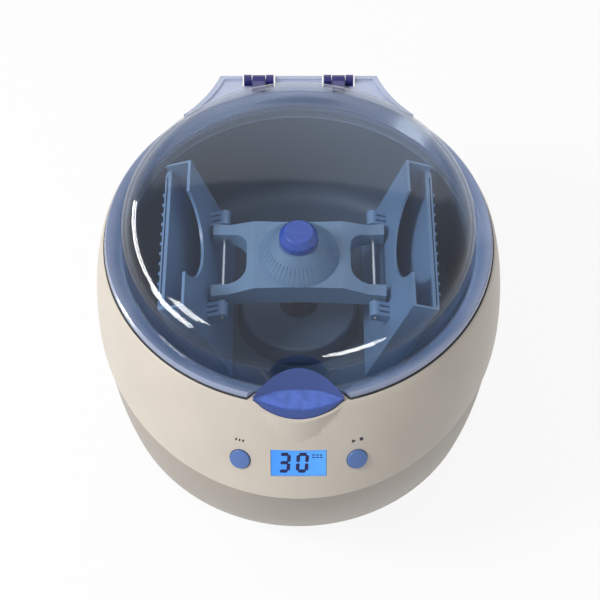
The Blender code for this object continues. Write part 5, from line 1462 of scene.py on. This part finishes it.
@dataclass(frozen=True)
class Latch:
    """The latch button: a dished, sloping pad with a raised back that covers the pod's rear wall."""

    ridge_y: float = 132.5 * MM
    ridge_z: float = 195.5 * MM
    ridge_bend: float = 6.39 * MM
    ridge_sag: float = 3.0 * MM
    back_growth: float = 0.2 * MM
    back_slope: float = 2.0
    dish_depth: float = 0.9 * MM
    dish_share: float = 0.6
    dish_edge_share: float = 0.08
    dish_slope: float = 1.2 * MM
    tip_share: float = 0.25
    roll: float = 2.2 * MM
    edge_round: float = 0.5 * MM
    # Share by which the dished pad is painted lighter, as a painted highlight.
    pad_highlight_share: float = 0.85
    columns: int = 56
    rows: int = 48

    def surface(self, spot: Vector) -> Vector:
        """Lay one point of a square from -1 to 1 onto the latch's top.

        Args:
            spot: place across and from front to back.

        Returns:
            The point on the top.
        """
        across, along = spot.x, spot.y
        middle = -(LATCH.rear + LATCH.front) / 2
        depth = (LATCH.front - LATCH.rear) / 2 + (self.back_growth if along > 0 else 0.0)
        taper = 1 - across * across
        x = across * LATCH.half_length
        y = middle + along * depth * taper
        ridge_y = -self.ridge_y - self.ridge_bend * across * across
        ridge_z = self.ridge_z - self.ridge_sag * across * across
        if y > ridge_y:
            return Vector((x, y, ridge_z + self.back_slope * (y - ridge_y)))
        slope = (self.ridge_z - LATCH.front_z) / (LATCH.front - self.ridge_y)
        height = ridge_z - slope * (ridge_y - y)
        edge = max(0.0, (-along - self.dish_share) / (1 - self.dish_share))
        inside = min(1.0, max(0.0, (self.dish_share - max(-along, 0.0)) / self.dish_edge_share))
        ridge_side = min(1.0, max(0.0, (ridge_y - y) / self.dish_slope))
        dish = inside * ridge_side * min(1.0, taper / self.tip_share)
        height -= self.roll * edge * edge * taper + self.dish_depth * dish
        return Vector((x, y, height))

    def pad_painted_highlight(self, point: Vector) -> float:
        """Say how much a point of the top is painted lighter, as a painted highlight on the dished pad.

        Args:
            point: a point of the latch.

        Returns:
            The painted highlight, 0 to 1.
        """
        across = point.x / LATCH.half_length
        middle = -(LATCH.rear + LATCH.front) / 2
        depth = (LATCH.front - LATCH.rear) / 2 * (1 - across * across)
        ahead = -self.ridge_y - self.ridge_bend * across * across - point.y
        behind = self.dish_share * depth - (middle - point.y)
        if ahead < 0.0 or behind < 0.0 or point.z < LATCH.front_z:
            return 0.0
        return self.pad_highlight_share

    def build(self) -> None:
        """Make the button from a grid laid onto its top, closed below, with its stem."""
        low = LATCH.floor + LATCH.travel + FIT
        button = Form()
        bmesh.ops.create_grid(button.work, x_segments=self.columns, y_segments=self.rows, size=1.0)
        button.moved(self.surface)
        bmesh.ops.remove_doubles(button.work, verts=button.work.verts, dist=MERGE)
        rim = [edge for edge in button.work.edges if edge.is_boundary]
        lowered = bmesh.ops.extrude_edge_only(button.work, edges=rim)["geom"]
        for item in lowered:
            if isinstance(item, bmesh.types.BMVert):
                item.co.z = low
        bottom = [item for item in lowered if isinstance(item, bmesh.types.BMEdge) and item.is_boundary]
        bmesh.ops.contextual_create(button.work, geom=bottom)
        # The dished pad is marked for the lighter edge colour, as a painted highlight.
        button.outward().rounded(self.edge_round, 40.0).wear_and_highlight(self.pad_painted_highlight)
        stem_bottom = LATCH.floor - LATCH.stem[2]
        stem = Form.block((LATCH.stem[0], LATCH.stem[1], low + FIT - stem_bottom),
                          (0, -LATCH.stem_y, (low + FIT + stem_bottom) / 2))
        button.with_forms(stem)
        button.piece("latch_oval", Body.LATCH, Palette.LATCH, ("latch_button",), 40.0)


@dataclass(frozen=True)
class Rotor:
    """The yoke with its fluted boss, the clamp knob, the shaft and the hanger pins."""

    flute_count: int = 48
    flute_radius: float = 0.5 * MM
    flute_inner: Pair = (21.5 * MM, 180.4 * MM)
    flute_outer: Pair = (29.6 * MM, 170.6 * MM)

    def flutes(self) -> Form:
        """Make the fine radial flutes round the foot of the boss.

        Returns:
            The ring of flutes.
        """
        ring = Form()
        for number in range(self.flute_count):
            turn = Matrix.Rotation(2 * math.pi * number / self.flute_count, 4, "Z")
            start = (self.flute_inner[0], 0, self.flute_inner[1])
            end = (self.flute_outer[0], 0, self.flute_outer[1])
            ring.with_forms(Form.rod(self.flute_radius, start, end, PIN_STEPS // 2).placed(turn))
        return ring

    def build(self) -> None:
        """Round and dress the rotor's pieces."""
        refine("rotor_yoke", Body.ROTOR, Palette.ROTOR, 0.8 * MM, 40.0)
        self.flutes().piece("boss_flutes", Body.ROTOR, Palette.ROTOR)
        refine("rotor_knob", Body.KNOB, Palette.KNOB, 0.6 * MM, 28.0)
        refine("drive_shaft", Body.ROTOR, Palette.STEEL, 0.4 * MM, 50.0)
        for side in ("left", "right"):
            refine(f"hanger_pin_{side}", Body.ROTOR, Palette.STEEL, 0.3 * MM)


class Carriers:
    """The two plate carriers that swing out on their pins."""

    def build(self) -> None:
        """Round and dress each carrier."""
        refine("carrier_left", Body.LEFT_CARRIER, Palette.CARRIER, 0.45 * MM)
        refine("carrier_right", Body.RIGHT_CARRIER, Palette.CARRIER, 0.45 * MM)


@dataclass(frozen=True)
class ControlPanel:
    """The display with its figures, the two keys and the printed marks over them."""

    pane_depth: float = 1.7 * MM
    digit_width: float = 8.6 * MM
    digit_height: float = 15.6 * MM
    stroke: float = 2.5 * MM
    digit_x: Pair = (-9.9 * MM, 2.6 * MM)
    slant: float = 0.06
    level_share: float = 1.35
    rising_share: float = 0.45
    corner_share: float = 0.42
    ink_height: float = 0.12 * MM
    ink_rise: float = 0.02 * MM
    unit_place: Pair = (12.8 * MM, 5.1 * MM)
    unit_pitch: Pair = (2.6 * MM, 1.9 * MM)
    unit_size: Pair = (2.0 * MM, 0.8 * MM)
    key_radius: float = 7.2 * MM
    key_proud: float = 1.8 * MM
    key_crown: Pair = (0.04 * MM, 0.18 * MM)
    key_round: float = 0.9 * MM
    key_drop: float = 1.3 * MM
    key_depth: float = 4.2 * MM
    key_flange: Pair = (8.8 * MM, 1.2 * MM)
    key_stem: Pair = (2 * MM, 3 * MM)
    mark_rise: float = 12.5 * MM
    mark_shift: float = 2.6 * MM
    mark_size: float = 2.4 * MM
    bar_pitch: float = 2.4 * MM
    bar_size: Pair = (1.3 * MM, 2.0 * MM)
    arrow: Pair = (1.3 * MM, 1.4 * MM)
    arrow_tip: float = 1.5 * MM

    SEGMENTS: ClassVar[dict[str, str]] = {"3": "abcdg", "0": "abcdef"}

    def stroke_form(self, length: float, width: float) -> Form:
        """Make one flat stroke with round ends along X.

        Args:
            length: length of the stroke.
            width: its width.

        Returns:
            The stroke, about the origin.
        """
        form = Form.block((length, width, self.ink_height), (0, 0, 0))
        upright = [edge for edge in form.work.edges
                   if abs(edge.verts[0].co.z - edge.verts[1].co.z) > self.ink_height / 2]
        bmesh.ops.bevel(form.work, geom=upright, offset=width * self.corner_share, offset_type="OFFSET",
                        segments=4, profile=0.5, affect="EDGES", clamp_overlap=True, material=-1)
        return form

    def digit(self, figure: str, x: float) -> Form:
        """Make a figure of seven segments about a place across the display.

        Args:
            figure: the figure.
            x: its place across the display.

        Returns:
            The figure.
        """
        half_width = (self.digit_width - self.stroke) / 2
        half_height = (self.digit_height - self.stroke) / 2
        level = self.digit_width - self.stroke * self.level_share
        rising = half_height - self.stroke * self.rising_share
        places = {"a": (0, half_height, 0), "g": (0, 0, 0), "d": (0, -half_height, 0),
                  "b": (half_width, half_height / 2, 90), "c": (half_width, -half_height / 2, 90),
                  "f": (-half_width, half_height / 2, 90), "e": (-half_width, -half_height / 2, 90)}
        form = Form()
        for name in self.SEGMENTS[figure]:
            across, up, turn = places[name]
            stroke = self.stroke_form(level if turn == 0 else rising, self.stroke)
            stroke.placed(Matrix.Translation((across, up, 0)) @ Matrix.Rotation(math.radians(turn), 4, "Z"))
            form.with_forms(stroke)
        form.moved(lambda point: Vector((point.x + point.y * self.slant + x, point.y, point.z)))
        return form

    def build_display(self) -> None:
        """Dress the lit window and lay the figures and a small unit mark on it."""
        dress(Palette.DISPLAY, "display_window")
        figures = Form().with_forms(self.digit("3", self.digit_x[0]), self.digit("0", self.digit_x[1]))
        for row in (0, 1):
            for step in (0, 1, 2):
                place = (self.unit_place[0] + (step - 1) * self.unit_pitch[0],
                         self.unit_place[1] + (row - 0.5) * self.unit_pitch[1], 0)
                dash = self.stroke_form(*self.unit_size).placed(Matrix.Translation(place))
                figures.with_forms(dash)
        figures.placed(ENVELOPE.on_front(0, ENVELOPE.panel_z, self.ink_height / 2 - self.pane_depth))
        figures.piece("display_figures", Body.CASING, Palette.DIGIT)

    def build_key(self, side: int, node: str, body: Body) -> None:
        """Make one domed push key.

        Args:
            side: -1 for the left key, 1 for the right one.
            node: node that the key replaces.
            body: body it rides on.
        """
        low = -self.key_depth
        under = low - self.key_flange[1]
        foot = low - self.key_stem[1]
        profile = [(0, self.key_proud), (self.key_radius * 0.3, self.key_proud - self.key_crown[0]),
                   (self.key_radius * 0.6, self.key_proud - self.key_crown[1])]
        corner = (self.key_radius - self.key_round, self.key_proud - self.key_drop)
        profile += arc(corner, self.key_round, 75, 0, 6)
        profile += [(self.key_radius, low), (self.key_flange[0], low), (self.key_flange[0], under),
                    (self.key_stem[0], under), (self.key_stem[0], foot), (0, foot)]
        key = Form.turned(profile, ring=False, steps=2 * ROUND_STEPS)
        key.placed(ENVELOPE.on_front(side * ENVELOPE.key_x, ENVELOPE.key_z))
        key.piece(node + "_domed", body, Palette.KEY, (node,), 40.0)

    def build_marks(self) -> None:
        """Lay small plain marks on the casing over the keys: three bars, and a triangle with a square."""
        height = ENVELOPE.key_z + self.mark_rise
        for step in (-1, 0, 1):
            bar = self.stroke_form(*self.bar_size)
            bar.placed(ENVELOPE.on_front(step * self.bar_pitch - ENVELOPE.key_x, height, self.ink_rise))
            bar.piece(f"set_mark_{step + 2}", Body.CASING, Palette.PRINT)
        square = Form.block((self.mark_size, self.mark_size, self.ink_height), (0, 0, 0))
        square.placed(ENVELOPE.on_front(ENVELOPE.key_x + self.mark_shift, height, self.ink_rise))
        square.piece("run_mark_square", Body.CASING, Palette.PRINT)
        back, half = self.arrow
        arrow = Form.prism([(-back, -half), (self.arrow_tip, 0), (-back, half)], 0, self.ink_height)
        arrow.placed(ENVELOPE.on_front(ENVELOPE.key_x - self.mark_shift, height, 0))
        arrow.piece("run_mark_triangle", Body.CASING, Palette.PRINT)

    def build(self) -> None:
        """Build the display, the keys and the marks, and dress the board behind them."""
        self.build_display()
        self.build_key(-1, "set_button", Body.SET_KEY)
        self.build_key(1, "run_button", Body.RUN_KEY)
        self.build_marks()
        refine("lcd_module", Body.CASING, Palette.BLACK, 0.3 * MM)
        dress(Palette.BOARD, "control_board")
        dress(Palette.BLACK, "set_switch", "run_switch", "lid_switch")


class Drive:
    """The motor on its plate and rubber mounts."""

    def build(self) -> None:
        """Dress the drive."""
        refine("motor_body", Body.CASING, Palette.MOTOR, 0.6 * MM, 50.0)
        dress(Palette.SHEET, "motor_plate")
        dress(Palette.RUBBER, "motor_mount_1", "motor_mount_2", "motor_mount_3")


class RearPanel:
    """The mains inlet and the power switch."""

    def build(self) -> None:
        """Round and dress the inlet, the switch frame and the rocker."""
        refine("power_socket", Body.CASING, Palette.BLACK, 0.5 * MM)
        refine("power_switch_frame", Body.CASING, Palette.BLACK, 0.5 * MM)
        refine("power_rocker", Body.ROCKER, Palette.BLACK, 0.5 * MM, 30.0)


@dataclass(frozen=True)
class Softbox:
    """A soft area lamp that lights everything, or one named object alone."""

    name: str
    place: Triple
    size: Pair
    power: float
    colour: Triple = (1.0, 1.0, 1.0)
    shape: str = "RECTANGLE"
    lights: str = ""

    def build(self, target: Vector) -> None:
        """Set the lamp up, facing a target.

        Args:
            target: point that it faces.
        """
        lamp = bpy.data.lights.new(self.name, "AREA")
        lamp.shape = self.shape
        lamp.size = self.size[0]
        lamp.size_y = self.size[1]
        lamp.energy = self.power
        lamp.color = self.colour
        item = bpy.data.objects.new(self.name, lamp)
        item.location = self.place
        item.rotation_euler = (target - Vector(self.place)).to_track_quat("-Z", "Y").to_euler()
        bpy.context.scene.collection.objects.link(item)
        if self.lights:
            group = bpy.data.collections.new(self.name + "_receivers")
            group.objects.link(bpy.data.objects[self.lights])
            item.light_linking.receiver_collection = group
            item.visible_diffuse = False


@dataclass(frozen=True)
class Studio:
    """The floor, the lamps, the world and the camera."""

    camera_place: Triple = (0.0, -0.6649, 1.0989)
    camera_target: Triple = (0.0, 0.09026, 0.0)
    lens: float = 93.216
    sensor: float = 36.0
    shift_x: float = 0.0023
    floor_size: float = 12.0
    ambient: float = 0.46
    lamp_target: Triple = (0.0, 0.0, 0.15)

    LAMPS: ClassVar[tuple[Softbox, ...]] = (
        Softbox("key_softbox", (-1.2, -0.36, 1.35), (0.5, 0.5), 20.0, (1.0, 0.99, 0.97)),
        Softbox("back_softbox", (0.1, 1.3, 1.3), (1.4, 0.5), 3.0, (0.95, 0.98, 1.0)),
        Softbox("lid_strip", (-1.5, 0.42, 0.7), (1.4, 0.14), 40.0, lights="lid_clear_dome"),
        Softbox("lid_left_glow", (-1.5, -0.48, 0.5), (0.85, 0.4), 34.0, shape="ELLIPSE",
                lights="lid_clear_dome"),
        Softbox("lid_right_glow", (0.8, -1.4, 0.6), (1.0, 0.3), 32.0, shape="ELLIPSE",
                lights="lid_clear_dome"),
    )

    @staticmethod
    def looked_at(graph: Graph) -> Wire:
        """Say whether a ray comes from the camera, a reflection or clear material.

        Args:
            graph: graph that asks.

        Returns:
            1 for such a ray, 0 for any other.
        """
        kinds = ("Is Camera Ray", "Is Glossy Ray", "Is Transmission Ray")
        parts = [graph.node("ShaderNodeLightPath", {}, {}, kind) for kind in kinds]
        return (parts[0] + parts[1] + parts[2]).spread(0.0, 1.0)

    def build_world(self) -> None:
        """Make a world that is white to look at and an even, softer light on the object."""
        world = bpy.data.worlds.new("studio")
        world.use_nodes = True
        graph = Graph(world.node_tree)
        soft = {"Color": (0.97, 0.98, 1.0, 1.0), "Strength": self.ambient}
        light = graph.node("ShaderNodeBackground", {}, soft)
        plain = {"Color": (1.0, 1.0, 1.0, 1.0), "Strength": 1.0}
        white = graph.node("ShaderNodeBackground", {}, plain)
        graph.show(graph.layered(self.looked_at(graph), light, white), "ShaderNodeOutputWorld")
        bpy.context.scene.world = world

    def build_floor(self) -> None:
        """Lay the floor."""
        work = bmesh.new()
        bmesh.ops.create_grid(work, x_segments=1, y_segments=1, size=self.floor_size / 2)
        mesh = bpy.data.meshes.new("studio_floor")
        work.to_mesh(mesh)
        work.free()
        mesh.materials.append(StudioFloor("studio_floor").material())
        item = bpy.data.objects.new("studio_floor", mesh)
        bpy.context.scene.collection.objects.link(item)

    def build_camera(self) -> None:
        """Set the camera at the photograph's angle."""
        camera = bpy.data.cameras.new("photo_camera")
        camera.lens = self.lens
        camera.sensor_width = self.sensor
        camera.shift_x = self.shift_x
        item = bpy.data.objects.new("photo_camera", camera)
        item.location = self.camera_place
        aim = Vector(self.camera_target) - Vector(self.camera_place)
        item.rotation_euler = aim.to_track_quat("-Z", "Y").to_euler()
        bpy.context.scene.collection.objects.link(item)
        bpy.context.scene.camera = item

    def build(self) -> None:
        """Build the studio."""
        self.build_world()
        self.build_floor()
        for lamp in self.LAMPS:
            lamp.build(Vector(self.lamp_target))
        self.build_camera()
        bpy.context.scene.view_settings.view_transform = "Standard"


def main() -> None:
    """Build every part of the object and the studio."""
    logging.basicConfig(level=logging.INFO, format="%(name)s: %(message)s")
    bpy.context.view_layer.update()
    for assembly in (Casing(), Chamber(), ClearLid(), Hinge(), Latch(), Rotor(), Carriers(),
                     ControlPanel(), Drive(), RearPanel(), Studio()):
        assembly.build()
        LOG.info("%s built", type(assembly).__name__)


if __name__ == "__main__":
    main()
